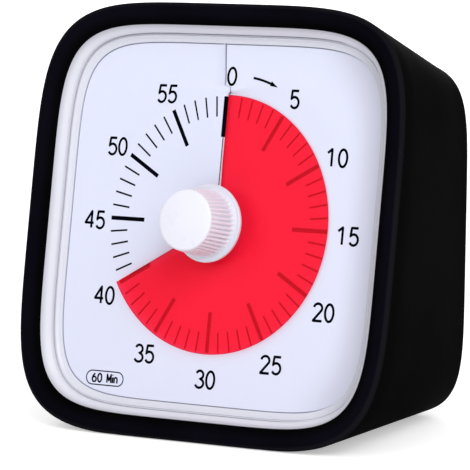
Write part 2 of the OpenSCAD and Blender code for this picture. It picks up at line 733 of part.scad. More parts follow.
rotor_r = 3;
stator_z = movement_z - 5.6;
stator_t = 1;
module rotor_magnet() {
    color([0.25, 0.25, 0.27]) in_place() translate([rotor_at[0], rotor_at[1], stator_z - stator_t / 2 - 1])
        difference() {
            cylinder(r = rotor_r, h = 3);
            translate([0, 0, -1]) cylinder(r = 1 + 0.02, h = 5);
        }
}
module rotor_pinion() {
    color([0.9, 0.9, 0.95]) in_place() translate(rotor_at) union() {
        pinion(fine_module, fifth_teeth, rotor_dir, fifth_z);
        translate([0, 0, fifth_z]) cylinder(r = 1, h = stator_z + 1.7 - fifth_z);
        translate([0, 0, lid_z - lid_t + 0.3])
            cylinder(r = pivot_r, h = movement_z - 0.3 - lid_z + lid_t - 0.3);
    }
}

// -------------------------------------------------------- motor and movement

coil_y = 20.3;
coil_x = [5.4, 18.6];
core = [2.6, 1];
bobbin_t = 0.6;
bobbin_r = 2.8;
stator_x = [-1.4, 22];
stator_window = bobbin_r - core[0] / 2 + 0.2;
module stator() {
    gap = 0.5;
    color([0.62, 0.64, 0.68]) in_place() translate([0, 0, stator_z - stator_t / 2]) difference() {
        translate([stator_x[0], rotor_at[1] - 4.6, 0])
            cube([stator_x[1] - stator_x[0], coil_y + core[0] / 2 - rotor_at[1] + 4.6, stator_t]);
        translate([rotor_at[0], rotor_at[1], -1]) cylinder(r = rotor_r + gap, h = 3);
        translate([coil_x[0] - 1, coil_y - core[0] / 2 - stator_window, -1])
            cube([coil_x[1] - coil_x[0] + 2, stator_window, 3]);
        translate([rotor_at[0] - 0.2, rotor_at[1] - 6, -1]) cube([0.4, 3, 3]);
    }
}
module coil_bobbin() {
    hole = [core[0] + fit, core[1] + fit];
    color([0.3, 0.45, 0.75]) in_place() translate([coil_x[0], coil_y, stator_z]) rotate([0, 90, 0])
        difference() {
            union() {
                translate([-hole[1] / 2 - bobbin_t, -hole[0] / 2 - bobbin_t, 0])
                    cube([hole[1] + 2 * bobbin_t, hole[0] + 2 * bobbin_t, coil_x[1] - coil_x[0]]);
                for (z = [0, coil_x[1] - coil_x[0] - 0.8]) translate([0, 0, z]) cylinder(r = bobbin_r, h = 0.8);
            }
            translate([-hole[1] / 2, -hole[0] / 2, -1]) cube([hole[1], hole[0], 20]);
        }
}
module coil_winding() {
    hole = [core[0] + 3 * fit + 2 * bobbin_t, core[1] + 3 * fit + 2 * bobbin_t];
    l = coil_x[1] - coil_x[0] - 2 * (0.8 + 0.05);
    color([0.72, 0.35, 0.16]) in_place() translate([coil_x[0] + 0.85, coil_y, stator_z]) rotate([0, 90, 0])
        difference() {
            cylinder(r = bobbin_r - 0.2, h = l);
            translate([-hole[1] / 2, -hole[0] / 2, -1]) cube([hole[1], hole[0], l + 2]);
        }
}

box_x = [-25.6, 25.6];
box_y = [-14.6, 24.4];
box_wall = 1.2;
window_x = [9, 21];
window_y = [3, 7.5];
lid_screw_at = [[-22.6, -11.2], [-22.4, 21.2], [22, -11.2]];
lid_screw_l = 6;
module tray_posts() {
    // posts under the lid screws, and two that carry the circuit board and the stator
    for (p = lid_screw_at) translate([p[0], p[1], lid_z]) cylinder(r = 1.9, h = tray_z - lid_z + eps);
    for (p = board_holes) translate([p[0], p[1], board_z]) cylinder(r = 1.6, h = tray_z - board_z + eps);
    for (x = [stator_x[0] + 1.6, stator_x[1] - 1.6])
        translate([x, coil_y, stator_z + stator_t / 2]) cylinder(r = 1.4, h = tray_z - stator_z - stator_t / 2 + eps);
}
module movement_tray() {
    color([0.9, 0.91, 0.93]) in_place() difference() {
        union() {
            difference() {
                translate([box_x[0], box_y[0], lid_z])
                    cube([box_x[1] - box_x[0], box_y[1] - box_y[0], movement_z - lid_z]);
                translate([box_x[0] + box_wall, box_y[0] + box_wall, lid_z - 1])
                    cube([box_x[1] - box_x[0] - 2 * box_wall, box_y[1] - box_y[0] - 2 * box_wall,
                          tray_z - lid_z + 1]);
            }
            tray_posts();
            translate([0, 0, movement_z - eps]) cylinder(r = snout_r, h = bulkhead_t - 0.1);
            for (x = [-1, 1], y = lug_y) hull() {
                translate([x * lug_x, y, lug_z - lug_t]) cylinder(r = lug_r, h = lug_t, $fn = 32);
                translate([x * (x > 0 ? box_x[1] - 0.6 : -box_x[0] - 0.6) - 0.5, y - lug_r, lug_z - lug_t])
                    cube([1, 2 * lug_r, lug_t]);
            }
        }
        translate([0, 0, movement_z - 5]) cylinder(r = arbor_r + run_gap, h = 10);
        for (p = [third_at, seconds_at, fifth_at, rotor_at])
            translate([p[0], p[1], tray_z - 1]) cylinder(r = pivot_r + run_gap, h = tray_floor + 0.9);
        for (p = lid_screw_at)
            translate([p[0], p[1], lid_z - 1]) cylinder(r = lid_screw_r + run_gap, h = lid_screw_l + 0.5);
        at_lugs() translate([0, 0, lug_z - lug_t - 1]) cylinder(r = screw_r + 0.2, h = lug_t + 2);
    }
}
module movement_lid() {
    color([0.9, 0.91, 0.93]) in_place() difference() {
        translate([box_x[0], box_y[0], lid_z - lid_t])
            cube([box_x[1] - box_x[0], box_y[1] - box_y[0], lid_t]);
        translate([0, 0, lid_z - 5]) cylinder(r = arbor_r + run_gap, h = 10);
        for (p = [third_at, seconds_at, fifth_at, rotor_at])
            translate([p[0], p[1], lid_z - lid_t + 0.25]) cylinder(r = pivot_r + run_gap, h = 5);
        for (p = lid_screw_at)
            translate([p[0], p[1], lid_z - 5]) cylinder(r = lid_screw_r + 0.1, h = 10);
        translate([window_x[0], window_y[0], lid_z - 5])
            cube([window_x[1] - window_x[0], window_y[1] - window_y[0], 10]);
    }
}
lid_screw_r = 0.8;
module lid_screws() {
    color([0.7, 0.7, 0.72]) in_place() for (p = lid_screw_at) translate([p[0], p[1], lid_z - lid_t]) {
        cylinder(r = lid_screw_r, h = lid_screw_l);
        translate([0, 0, -1]) difference() {
            cylinder(r = 1.6, h = 1);
            translate([0, 0, 0.1]) for (a = [0, 90]) rotate(a) cube([1.8, 0.4, 0.8], center = true);
        }
    }
}
module movement_screws() {
    color([0.7, 0.7, 0.72]) in_place() translate([0, 0, lug_z - lug_t]) at_lugs() pan_screw(lug_screw_l);
}

// ---------------------------------------------------------------- electronics

board_z = lid_z + 2.6;
board_t = 1;
board_x = [4, 23.6];
board_y = [-9, 9.4];
board_holes = [[21.2, -6.4], [21.2, 6.4]];
module circuit_board() {
    color([0.1, 0.4, 0.25]) in_place() difference() {
        translate([board_x[0], board_y[0], board_z - board_t])
            cube([board_x[1] - board_x[0], board_y[1] - board_y[0], board_t]);
        translate([rotor_at[0], rotor_at[1], board_z - 3]) cylinder(r = 5.2, h = 5);
        for (p = board_holes) translate([p[0], p[1], board_z - 3]) cylinder(r = 0.6, h = 5);
    }
}
module timer_chip() {
    color([0.06, 0.06, 0.07]) in_place() translate([12, -4, board_z]) intersection() {
        translate([0, 0, -3.4]) sphere(r = 4.4);
        cylinder(r = 4, h = 2);
    }
}
module quartz_crystal() {
    color([0.75, 0.77, 0.8]) in_place() translate([10, 3, board_z + 1]) rotate([0, 90, 0]) {
        cylinder(r = 1, h = 6);
        for (y = [-0.5, 0.5]) translate([0, y, -1.4]) cylinder(r = 0.2, h = 1.4, $fn = 24);
        for (y = [-0.5, 0.5]) translate([0, y, -1.4]) rotate([0, 90, 0]) cylinder(r = 0.2, h = 1, $fn = 24);
    }
}
// Leaf that the cam's notch lets go at zero, which sounds the buzzer
leaf_x = cam_r + 0.15;
module alarm_leaf() {
    color([0.85, 0.75, 0.45]) in_place() {
        translate([leaf_x, -7.6, cam_z]) cube([0.25, 9.4, 0.9]);
        translate([leaf_x, -7.6, board_z]) cube([0.25, 1.4, cam_z + 0.5 - board_z]);
        translate([leaf_x, -7.6, board_z]) cube([2.4, 1.4, 0.25]);
    }
}

contact_x = bay_x[1] - contact_gap - contact_t;
cell_x = contact_x - 0.1;
module battery() {
    color([0.75, 0.55, 0.25]) in_place() on_rear() translate([cell_x, bay_y, cell_z]) rotate([0, -90, 0]) {
        cylinder(r = 2.75, h = nub_l + eps);
        translate([0, 0, nub_l]) cylinder(r = cell_r, h = cell_l - nub_l - 0.3);
        translate([0, 0, cell_l - 0.31]) cylinder(r = 4.5, h = 0.3);
    }
}
tail_y = bay_y + 2;
tail_z = bay_in_z + bay_wall + 0.9;
module positive_contact() {
    color([0.8, 0.8, 0.82]) in_place() on_rear() {
        translate([contact_x, bay_y - 5, cell_z - 5]) cube([contact_t, 10, 10]);
        translate([contact_x, tail_y, cell_z]) cube([contact_t, 4, tail_z - cell_z]);
        translate([contact_x - 0.08, bay_y, cell_z]) rotate([0, 90, 0]) cylinder(r = 1.2, h = 0.2);
    }
}
spring_turns = 3.5;
spring_wire = 0.35;
spring_steps = 56;
function spring_point(i) =
    let(t = i / spring_steps,
        a = 360 * spring_turns * t,
        r = 5 - 2.4 * t)
    [t * (spring_l + 0.05 - 2 * spring_wire), r * cos(a), r * sin(a)];
module negative_spring() {
    color([0.8, 0.8, 0.82]) in_place() on_rear() {
        translate([-contact_x - contact_t, bay_y - 5.6, cell_z - 5.6]) cube([contact_t, 11.2, 11.2]);
        translate([-contact_x - contact_t, tail_y, cell_z]) cube([contact_t, 4, tail_z - cell_z]);
        translate([-contact_x + spring_wire - 0.15, bay_y, cell_z])
            tube([for (i = [0:spring_steps]) spring_point(i)], spring_wire, 6, [1, 0.01, 0.02]);
    }
}

module battery_door() {
    color([0.93, 0.93, 0.95]) in_place() on_rear() difference() {
        union() {
            translate([-door_x, pin_y, rear_face]) cube([2 * door_x, door_y[1] - pin_y, door_t]);
            translate([-door_x, pin_y, pin_z]) rotate([0, 90, 0]) cylinder(r = door_t / 2, h = 2 * door_x);
            translate([-door_x - pin_l, pin_y, pin_z]) rotate([0, 90, 0])
                cylinder(r = door_pin_r, h = 2 * (door_x + pin_l));
        }
        // grip ridges beside the latch, and the cuts that let the latch flex
        for (i = [0:3]) translate([-6, door_y[1] - 4.6 - 1.5 * i, rear_face - 0.3]) cube([12, 0.7, 0.6]);
        for (s = [-1, 1]) translate([s * 7.5 - 0.35, door_y[1] - 5.5, rear_face - 1]) cube([0.7, 7, door_t + 2]);
    }
}

module switch_body() {
    color([0.75, 0.77, 0.8]) in_place() on_rear() translate([switch_at[0], switch_at[1], rear_wall_in]) {
        difference() {
            translate([-6, -2, 0]) cube([12, 4, 4]);
            translate([-(switch_stem[0] + switch_travel) / 2 - 0.3, -switch_stem[1] / 2 - 0.3, -1])
                cube([switch_stem[0] + switch_travel + 0.6, switch_stem[1] + 0.6, 3.2]);
        }
        for (x = [-3, 3]) translate([x - 0.4, -0.15, 4 - eps]) cube([0.8, 0.3, 2]);
    }
}
module switch_slider() {
    x = switch_at[0] - switch_travel / 2;
    top = rear_face + switch_pocket - 0.1;
    color([0.1, 0.1, 0.11]) in_place() on_rear() {
        translate([x - switch_stem[0] / 2, switch_at[1] - switch_stem[1] / 2, top - eps])
            cube([switch_stem[0], switch_stem[1], rear_wall_in + 1.9 - top]);
        difference() {
            translate([x - switch_button[0] / 2, switch_at[1] - switch_button[1] / 2, top - switch_button[2]])
                cube(switch_button);
            for (i = [-1.5:1:1.5])
                translate([x + i - 0.2, switch_at[1] - 3, top - switch_button[2] - 0.1]) cube([0.4, 6, 0.5]);
        }
    }
}
module buzzer() {
    color([0.08, 0.08, 0.09]) in_place() on_rear()
        translate([buzzer_at[0], buzzer_at[1], rear_wall_in]) difference() {
            union() {
                cylinder(r = buzzer_r, h = buzzer_h);
                for (x = [-2.5, 2.5]) translate([x, 0, buzzer_h - eps]) cylinder(r = 0.3, h = 1.5, $fn = 24);
            }
            translate([0, 0, -1]) cylinder(r = 1, h = 2);
        }
}

// -------------------------------------------------------------------- wiring

// Tube of n sides swept along points; the sides are turned by a fixed reference
module tube(points, r, n, ref) {
    m = len(points);
    rings = [for (k = [0:m - 1])
        let(t = points[min(k + 1, m - 1)] - points[max(k - 1, 0)],
            u = cross(t, ref) / norm(cross(t, ref)),
            v = cross(t, u) / norm(cross(t, u)))
        [for (j = [0:n - 1]) let(a = 360 * j / n) points[k] + r * (cos(a) * u + sin(a) * v)]];
    skin(rings);
}
// Smooth route through hand-placed points, with k steps between two of them
function bend(p, k) =
    let(n = len(p))
    concat([for (i = [0:n - 2], s = [0:k - 1])
        let(a = p[max(i - 1, 0)], b = p[i], c = p[i + 1], d = p[min(i + 2, n - 1)], t = s / k)
        0.5 * (2 * b + (c - a) * t + (2 * a - 5 * b + 4 * c - d) * t * t
               + (3 * b - a - 3 * c + d) * t * t * t)],
        [p[n - 1]]);
pad_z = board_z - board_t;
lead_ref = [0.2, 0.1, -1];
module lead(route) { tube(bend(route, 4), lead_r, 8, [0.55, 1, 0.3]); }

rear_up = from_rear([0, 0, 1]) - from_rear([0, 0, 0]);
red_tail = from_rear([contact_x + contact_t / 2, tail_y + 2, tail_z + lead_r + 0.05]);
black_tail = from_rear([-contact_x - contact_t / 2, tail_y + 2, tail_z + lead_r + 0.05]);
switch_legs = [for (x = [-3, 3]) from_rear([switch_at[0] + x, switch_at[1], rear_wall_in + 6.05])];
buzzer_legs = [for (x = [-2.5, 2.5])
    from_rear([buzzer_at[0] + x, buzzer_at[1], rear_wall_in + buzzer_h + 1.55])];
module red_lead() {
    color([0.8, 0.1, 0.1]) in_place() lead([
        [19.6, 5, pad_z - 0.05], [19.8, 5, pad_z - 3], [24, 5, pad_z - 5.5],
        [30, 3, pad_z - 6], red_tail + [0.4, 4, 0], red_tail]);
}
module black_lead() {
    color([0.07, 0.07, 0.08]) in_place() lead([
        [10.2, 5, pad_z - 0.05], [10, 5, pad_z - 3], [4, 6, pad_z - 6],
        [-12, 7, pad_z - 6.5], [-26, 5, pad_z - 6], black_tail + [0, 4, 0], black_tail]);
}
module buzzer_leads() {
    color([0.85, 0.85, 0.2]) in_place() for (i = [0, 1]) lead([
        [12.2 + 1.8 * i, 5.4, pad_z - 0.05], [12.2 + 1.8 * i, 5.6, pad_z - 4],
        [4, 9 + 3 * i, pad_z - 6 - 1.5 * i], buzzer_legs[i] + [5 - i, -2 + i, 5 - i],
        buzzer_legs[i] + 2 * rear_up, buzzer_legs[i]]);
}
module switch_leads() {
    color([0.9, 0.9, 0.9]) in_place() for (i = [0, 1]) lead([
        [16 + 1.8 * i, 5, pad_z - 0.05], [16 + 1.8 * i, 5.4, pad_z - 4],
        [15 + 3 * i, 9, pad_z - 9], switch_legs[i] + 2 * rear_up, switch_legs[i]]);
}

silicone_cover();
front_case();
rear_cover();
case_screws();
bezel_ring();
dial_plate();
red_disc();
disc_hub();
knob();
knob_arbor();
alarm_cam();
clutch_spring();
minute_wheel();
third_wheel();
seconds_wheel();
fifth_wheel();
rotor_magnet();
rotor_pinion();
stator();
coil_bobbin();
coil_winding();
movement_tray();
movement_lid();
lid_screws();
movement_screws();
circuit_board();
timer_chip();
quartz_crystal();
alarm_leaf();
battery();
positive_contact();
negative_spring();
battery_door();
switch_body();
switch_slider();
buzzer();
red_lead();
black_lead();
buzzer_leads();
switch_leads();
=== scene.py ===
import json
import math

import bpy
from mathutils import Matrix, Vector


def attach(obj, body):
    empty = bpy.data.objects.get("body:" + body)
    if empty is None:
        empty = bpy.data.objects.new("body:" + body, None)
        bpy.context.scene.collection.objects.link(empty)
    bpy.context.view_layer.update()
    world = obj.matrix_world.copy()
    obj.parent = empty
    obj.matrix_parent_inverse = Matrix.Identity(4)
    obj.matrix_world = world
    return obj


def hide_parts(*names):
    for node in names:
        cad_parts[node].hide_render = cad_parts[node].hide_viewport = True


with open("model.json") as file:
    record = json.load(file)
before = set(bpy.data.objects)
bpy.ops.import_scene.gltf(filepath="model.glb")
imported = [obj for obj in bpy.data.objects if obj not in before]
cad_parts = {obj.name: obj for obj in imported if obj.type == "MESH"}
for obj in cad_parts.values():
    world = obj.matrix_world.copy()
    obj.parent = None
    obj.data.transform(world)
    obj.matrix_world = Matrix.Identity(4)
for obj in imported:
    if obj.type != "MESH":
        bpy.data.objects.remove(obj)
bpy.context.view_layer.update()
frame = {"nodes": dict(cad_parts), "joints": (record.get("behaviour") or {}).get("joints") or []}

# %% [markdown]
# # A visual countdown timer
#
# The timer is a white square case in a stretched black silicone cover. It
# leans back, and a red film disc grows out of a slit in its pale dial when
# the white knob is turned. The solids are already here as a fixed frame, so
# this lesson only adds what the eye needs: smooth outlines, the printed
# scale, and materials.
#
# All pieces are modelled lying flat in millimetres, in the dial's own frame:
# X to the right, Y up the dial, Z out towards the reader. Each is then set in
# place with one matrix, which comes from the joint that the knob turns on.

knob_turn = next(j for j in frame["joints"] if j["name"] == "knob_turn")
knob_axis = Vector(knob_turn["axis"])
lean = math.atan2(-knob_axis.z, knob_axis.y)
dial = (Matrix.Translation(knob_turn["pos_m"])
        @ Matrix.Rotation(math.pi / 2 - lean, 4, "X")
        @ Matrix.Scale(0.001, 4))
rear_z, rear_rise, rear_tilt = -35.9, 1.5, math.radians(7.7)
rear = (dial @ Matrix.Translation((0, rear_rise, rear_z))
        @ Matrix.Rotation(rear_tilt, 4, "X"))
print("lean of the dial:", round(math.degrees(lean), 2), "degrees")

# %% [markdown]
# ## Camera and light
#
# The timer is seen from the right of its dial and a little above, through a
# long lens, so its sides hardly converge. The camera is built in the dial's
# frame: first the direction it looks from, then its roll. The light is that of
# a white studio. It could be one sky picture, but plain lamps are easier to
# move: a pale world fills the shadows, a large lamp high on the right draws the
# gradient on the dial, with painted shade at the dial's right edge, a weaker
# one on the left opens the far side, and a third stands behind the timer for
# its back.

# %% Camera
azimuth, elevation, roll = math.radians(33.505), math.radians(-1.871), math.radians(5.145)
distance, lens_mm, sensor_mm, nearest_m = 751.4, 282.8, 36, 0.01
target = Vector((6.92, -2.04, 4.1))
back = Vector((math.sin(azimuth) * math.cos(elevation), math.sin(elevation),
               math.cos(azimuth) * math.cos(elevation)))
side = Vector((0, 1, 0)).cross(back).normalized()
up = back.cross(side)
right = math.cos(roll) * side + math.sin(roll) * up
up = back.cross(right)
turn = dial.to_3x3().normalized()
bpy.ops.object.camera_add(location=dial @ (target + distance * back))
camera = bpy.context.object
camera.rotation_euler = Matrix((turn @ right, turn @ up, turn @ back)).transposed().to_euler()
camera.data.lens = lens_mm
camera.data.sensor_width = sensor_mm
camera.data.clip_start = nearest_m
bpy.context.scene.camera = camera
print("camera at", [round(v, 3) for v in camera.location])

# %% [markdown]
# ## Shader maths
#
# A material is a formula, so it reads best as one. `Wire` wraps the output of
# a node, and adding or multiplying wires adds the Math nodes. `Finish` is one
# material: its constants are set on the shader's own sockets, and `node` makes
# any other node from its type, its settings and what its sockets get.

# %% Wires and finishes
class Wire:
    """One output of a node. Arithmetic on it adds Math nodes."""

    def __init__(self, finish, socket):
        self.finish, self.socket = finish, socket

    def maths(self, operation, *values):
        """A Math node that takes this wire first."""
        return self.finish.node("ShaderNodeMath", {"operation": operation},
                                dict(enumerate((self, *values))))

    def __add__(self, other):
        return self.maths("ADD", other)

    def __sub__(self, other):
        return self.maths("SUBTRACT", other)

    def __mul__(self, other):
        return self.maths("MULTIPLY", other)

    def __truediv__(self, other):
        return self.maths("DIVIDE", other)

    def __pow__(self, other):
        return self.maths("POWER", other)

    def __rsub__(self, other):
        return (self * -1) + other

    __radd__, __rmul__ = __add__, __mul__

    def over(self, level):
        return self.maths("GREATER_THAN", level)

    def under(self, level):
        return self.maths("LESS_THAN", level)

    def size(self):
        return self.maths("ABSOLUTE")

    def sine(self):
        return self.maths("SINE")

    def between(self, low, high):
        """0 at low and 1 at high, with soft ends; low may be the larger of the two."""
        return self.finish.node("ShaderNodeMapRange", {"interpolation_type": "SMOOTHSTEP"},
                                {0: self, 1: low, 2: high, 3: 0.0, 4: 1.0})


class Finish:
    """A material with one Principled shader."""

    def __init__(self, name, color, roughness, **constants):
        self.material = bpy.data.materials.new(name)
        self.material.use_nodes = True
        self.tree = self.material.node_tree
        self.shader = self.tree.nodes["Principled BSDF"]
        self.set({"Base Color": (*color, 1), "Roughness": roughness})
        self.set({key.replace("_", " ").title().replace("Ior", "IOR"): value
                  for key, value in constants.items()})
        self.place = self.node("ShaderNodeTexCoord", out="Object")
        self.material.diffuse_color = (*color, 1)

    def plug(self, socket, value):
        """Links a wire to a socket, or sets a plain value on it."""
        if isinstance(value, Wire):
            self.tree.links.new(value.socket, socket)
        else:
            socket.default_value = value

    def set(self, values):
        """Plugs values into the shader's own sockets, by name."""
        for name, value in values.items():
            self.plug(self.shader.inputs[name], value)

    def node(self, kind, settings=None, values=None, out=0):
        """Adds a node and gives the wire that leaves it."""
        made = self.tree.nodes.new(kind)
        for name, value in (settings or {}).items():
            setattr(made, name, value)
        for name, value in (values or {}).items():
            self.plug(made.inputs[name], value)
        return Wire(self, made.outputs[out])

    def noise(self, scale, detail=2.0, roughness=0.5):
        """Noise with `scale` bumps to a metre."""
        return self.node("ShaderNodeTexNoise", None,
                         {"Vector": self.place, "Scale": scale,
                          "Detail": detail, "Roughness": roughness}, "Fac")

    def cells(self, scale):
        """Distance to the nearest of `scale` scattered points to a metre."""
        return self.node("ShaderNodeTexVoronoi", {"feature": "F1"},
                         {"Vector": self.place, "Scale": scale}, "Distance")

    def axes(self, place=None):
        """The X, Y and Z of a place, as three wires."""
        parts = self.node("ShaderNodeSeparateXYZ", None, {0: place or self.place})
        return [Wire(self, out) for out in parts.socket.node.outputs]

    def turned(self, matrix):
        """Object coordinates seen from a frame that stands at `matrix`, in its millimetres."""
        back_to = matrix.inverted()
        return self.node("ShaderNodeMapping", {"vector_type": "POINT"},
                         {"Vector": self.place, "Location": back_to.to_translation(),
                          "Rotation": back_to.to_euler(), "Scale": back_to.to_scale()})

    def half_width(self, x, y, shape):
        """Half the width of the superellipse that passes through a point."""
        return (x.size() ** shape + y.size() ** shape) ** (1 / shape)

    def mix(self, share, one, other):
        """one where share is 0, other where it is 1."""
        one, other = [(*c, 1) if isinstance(c, tuple) and len(c) == 3 else c for c in (one, other)]
        return self.node("ShaderNodeMix", {"data_type": "RGBA"}, {0: share, 6: one, 7: other}, 2)

    def bump(self, height, depth_mm, strength):
        """Raises the surface where height is 1, without moving its mesh."""
        bumped = self.node("ShaderNodeBump", None,
                           {"Height": height, "Strength": strength, "Distance": depth_mm / 1000})
        self.set({"Normal": bumped})


def dress(finish, *node_names):
    """Gives solids of the frame a better material."""
    for node_name in node_names:
        solid = frame["nodes"][node_name]
        solid.data.materials.clear()
        solid.data.materials.append(finish.material)


print("shader helpers ready")

# %% Lamps, world and floor
lit_by, seen_as, floor_glow = 0.62, 1.0, 0.42
middle = Vector((0, 0, 0.045))
world = bpy.data.worlds.new("white_room")
bpy.context.scene.world = world
world.use_nodes = True
sky = world.node_tree.nodes["Background"]
path = world.node_tree.nodes.new("ShaderNodeLightPath")
sight = world.node_tree.nodes.new("ShaderNodeMath")
sight.operation = "MULTIPLY_ADD"
world.node_tree.links.new(path.outputs["Is Camera Ray"], sight.inputs[0])
sight.inputs[1].default_value = seen_as - lit_by
sight.inputs[2].default_value = lit_by
world.node_tree.links.new(sight.outputs[0], sky.inputs["Strength"])
sky.inputs["Color"].default_value = (1, 1, 1, 1)


def softbox(name, place_m, watts):
    """A square lamp, a metre wide, that faces the middle of the timer."""
    bpy.ops.object.light_add(type="AREA", location=place_m)
    lamp = bpy.context.object
    lamp.name, lamp.data.size, lamp.data.energy = name, 1.0, watts
    lamp.rotation_euler = (middle - Vector(place_m)).to_track_quat("-Z", "Y").to_euler()


softbox("key", (0.95, -0.7, 0.8), 10.6)
softbox("fill", (-0.4, -1.2, 0.7), 2.6)
softbox("rear", (-0.6, 1.2, 0.75), 7.0)

bpy.ops.mesh.primitive_plane_add(size=6, location=(0, 0, -0.0002))
floor = bpy.context.object
floor.name = "floor"
paper = Finish("floor_paper", (0.9, 0.9, 0.9), 0.9, specular_ior_level=0.1)
seen = paper.node("ShaderNodeLightPath", out="Is Camera Ray")
paper.set({"Emission Color": paper.mix(seen, (0, 0, 0), (1, 1, 1)),
           "Emission Strength": floor_glow})
floor.data.materials.append(paper.material)
print("world, three lamps and a paper floor")

# %% [markdown]
# ## Modelling helpers
#
# The cover, the rim, the ring round the dial and the dial itself are all
# swept along one outline, a superellipse: a square whose sides bow a little
# and whose corners are drawn without any arc that starts or stops. Blender
# has no such primitive, so a flat grid is added, with one column for each
# step round the outline and one row for each ring, and every point moves from
# its place in the grid to its place on its ring. The seam is then merged and
# the ends are filled, which leaves a closed piece.

# %% Selecting, wrapping and placing
def only(piece):
    """Selects one piece and nothing else."""
    bpy.ops.object.select_all(action="DESELECT")
    piece.select_set(True)
    bpy.context.view_layer.objects.active = piece
    return piece


def edit(piece, *steps):
    """Runs edit-mode steps on everything in the piece."""
    only(piece)
    bpy.ops.object.mode_set(mode="EDIT")
    bpy.ops.mesh.select_all(action="SELECT")
    for step in steps:
        step()
    bpy.ops.object.mode_set(mode="OBJECT")
    return piece


def wrap(rings, loop=False):
    """Sweeps a closed outline through its rings; a loop comes back to its first ring."""
    rows = rings + rings[:1] if loop else rings
    across, along = len(rows[0]), len(rows) - 1
    bpy.ops.mesh.primitive_grid_add(x_subdivisions=across, y_subdivisions=along, size=2)
    sheet = bpy.context.object
    for point in sheet.data.vertices:
        column = round((point.co.x + 1) / 2 * across)
        row = round((point.co.y + 1) / 2 * along)
        point.co = rows[row][column % across]
    return edit(sheet,
                lambda: bpy.ops.mesh.remove_doubles(threshold=0.0001),
                lambda: bpy.ops.mesh.fill_holes(sides=0),
                lambda: bpy.ops.mesh.normals_make_consistent(inside=False))


def block(place, size):
    """A box with its middle at place."""
    bpy.ops.mesh.primitive_cube_add(size=1, location=place, scale=size)
    bpy.ops.object.transform_apply(location=True, scale=True)
    return bpy.context.object


def post(x, y, z, radius, height, sides=48):
    """A round bar that stands on z."""
    bpy.ops.mesh.primitive_cylinder_add(vertices=sides, radius=radius, depth=height,
                                        location=(x, y, z + height / 2))
    return bpy.context.object


def smooth(t):
    """Rises from 0 to 1 as t does, with soft ends."""
    t = min(max(t, 0), 1)
    return t * t * (3 - 2 * t)


def pinched(ring):
    """A ring flattened to its middle line, which closes the end of a thin sheet."""
    middles = [tuple((u + v) / 2 for u, v in zip(p, q)) for p, q in zip(ring, reversed(ring))]
    return middles[:len(ring) // 2] + middles[:len(ring) // 2][::-1]


def wrap_sheet(section, count=288):
    """Sweeps a thin sheet through its sections, with both ends closed."""
    sections = [section(j, count) for j in range(count + 1)]
    return wrap([pinched(sections[0])] + sections + [pinched(sections[-1])])


def joined(*pieces):
    """Makes several pieces one object."""
    bpy.ops.object.select_all(action="DESELECT")
    for piece in pieces:
        piece.select_set(True)
    bpy.context.view_layer.objects.active = pieces[0]
    bpy.ops.object.join()
    return pieces[0]


def carve(piece, tool):
    """Cuts another piece out of this one and uses it up."""
    only(piece)
    cut = piece.modifiers.new("cut", "BOOLEAN")
    cut.operation, cut.object, cut.solver = "DIFFERENCE", tool, "EXACT"
    bpy.ops.object.modifier_apply(modifier="cut")
    bpy.data.objects.remove(tool)
    return piece


def put(piece, name, place, body, finish, smooth=35, replaces=None):
    """Sets a finished piece in place, and says what it rides on and is made of."""
    piece.name = piece.data.name = name
    only(piece)
    piece.matrix_world = place @ piece.matrix_world
    bpy.ops.object.transform_apply(location=True, rotation=True, scale=True)
    bpy.ops.object.shade_smooth_by_angle(angle=math.radians(smooth))
    piece.data.materials.clear()
    piece.data.materials.append(finish.material)
    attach(piece, body)
    if replaces:
        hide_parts(replaces)
    print(name, "with", len(piece.data.polygons), "faces")
    return piece


print("modelling helpers ready")

# %% The outline of the case
body_w, rear_w = 90.4, 75.1
front_z = 4.3
front_shape, lip_shape, rear_shape, band_w = 4.85, 5.45, 6.3, 4.4
steps = 288


def signed_power(value, power):
    """A power that keeps its sign, so one formula serves all four quarters."""
    return math.copysign(abs(value) ** power, value)


def even_turn(i):
    """Turns that space the points evenly as seen from the centre."""
    a = 2 * math.pi * i / steps
    return math.atan2(signed_power(math.sin(a), front_shape / 2),
                      signed_power(math.cos(a), front_shape / 2))


turns = [even_turn(i) for i in range(steps)]


def outline(half, shape):
    """Points round a superellipse."""
    return [(half * signed_power(math.cos(a), 2 / shape),
             half * signed_power(math.sin(a), 2 / shape)) for a in turns]


def shape_in(inset):
    """How square the outline is at a distance in from the front edge."""
    return front_shape + (lip_shape - front_shape) * inset / band_w


def front(inset, z):
    """A ring parallel to the dial."""
    return [(x, y, z) for x, y in outline(body_w / 2 - inset, shape_in(inset))]


def back_ring(inset, depth):
    """A ring parallel to the rear face, depth behind the plane where its edge starts."""
    return [(x, rear_rise + y * math.cos(rear_tilt) + depth * math.sin(rear_tilt),
             rear_z + y * math.sin(rear_tilt) - depth * math.cos(rear_tilt))
            for x, y in outline(rear_w / 2 - inset, rear_shape)]


def flank(inset, z=None, share=None):
    """A ring on the tapered sides, at a height or at a share of the way to the rear."""
    ring = []
    for p, q in zip(front(inset, front_z), back_ring(inset, 0)):
        s = share if z is None else (z - front_z) / (q[2] - front_z)
        ring.append(tuple(a + s * (b - a) for a, b in zip(p, q)))
    return ring


def rounded(centre_in, centre_z, radius, start, stop, count, ring=front):
    """Rings round an edge; 0 degrees faces out of the side and 90 the face."""
    angles = [math.radians(start + (stop - start) * i / (count - 1)) for i in range(count)]
    return [ring(centre_in - radius * math.cos(a), centre_z + radius * math.sin(a)) for a in angles]


print("outline with", steps, "points")

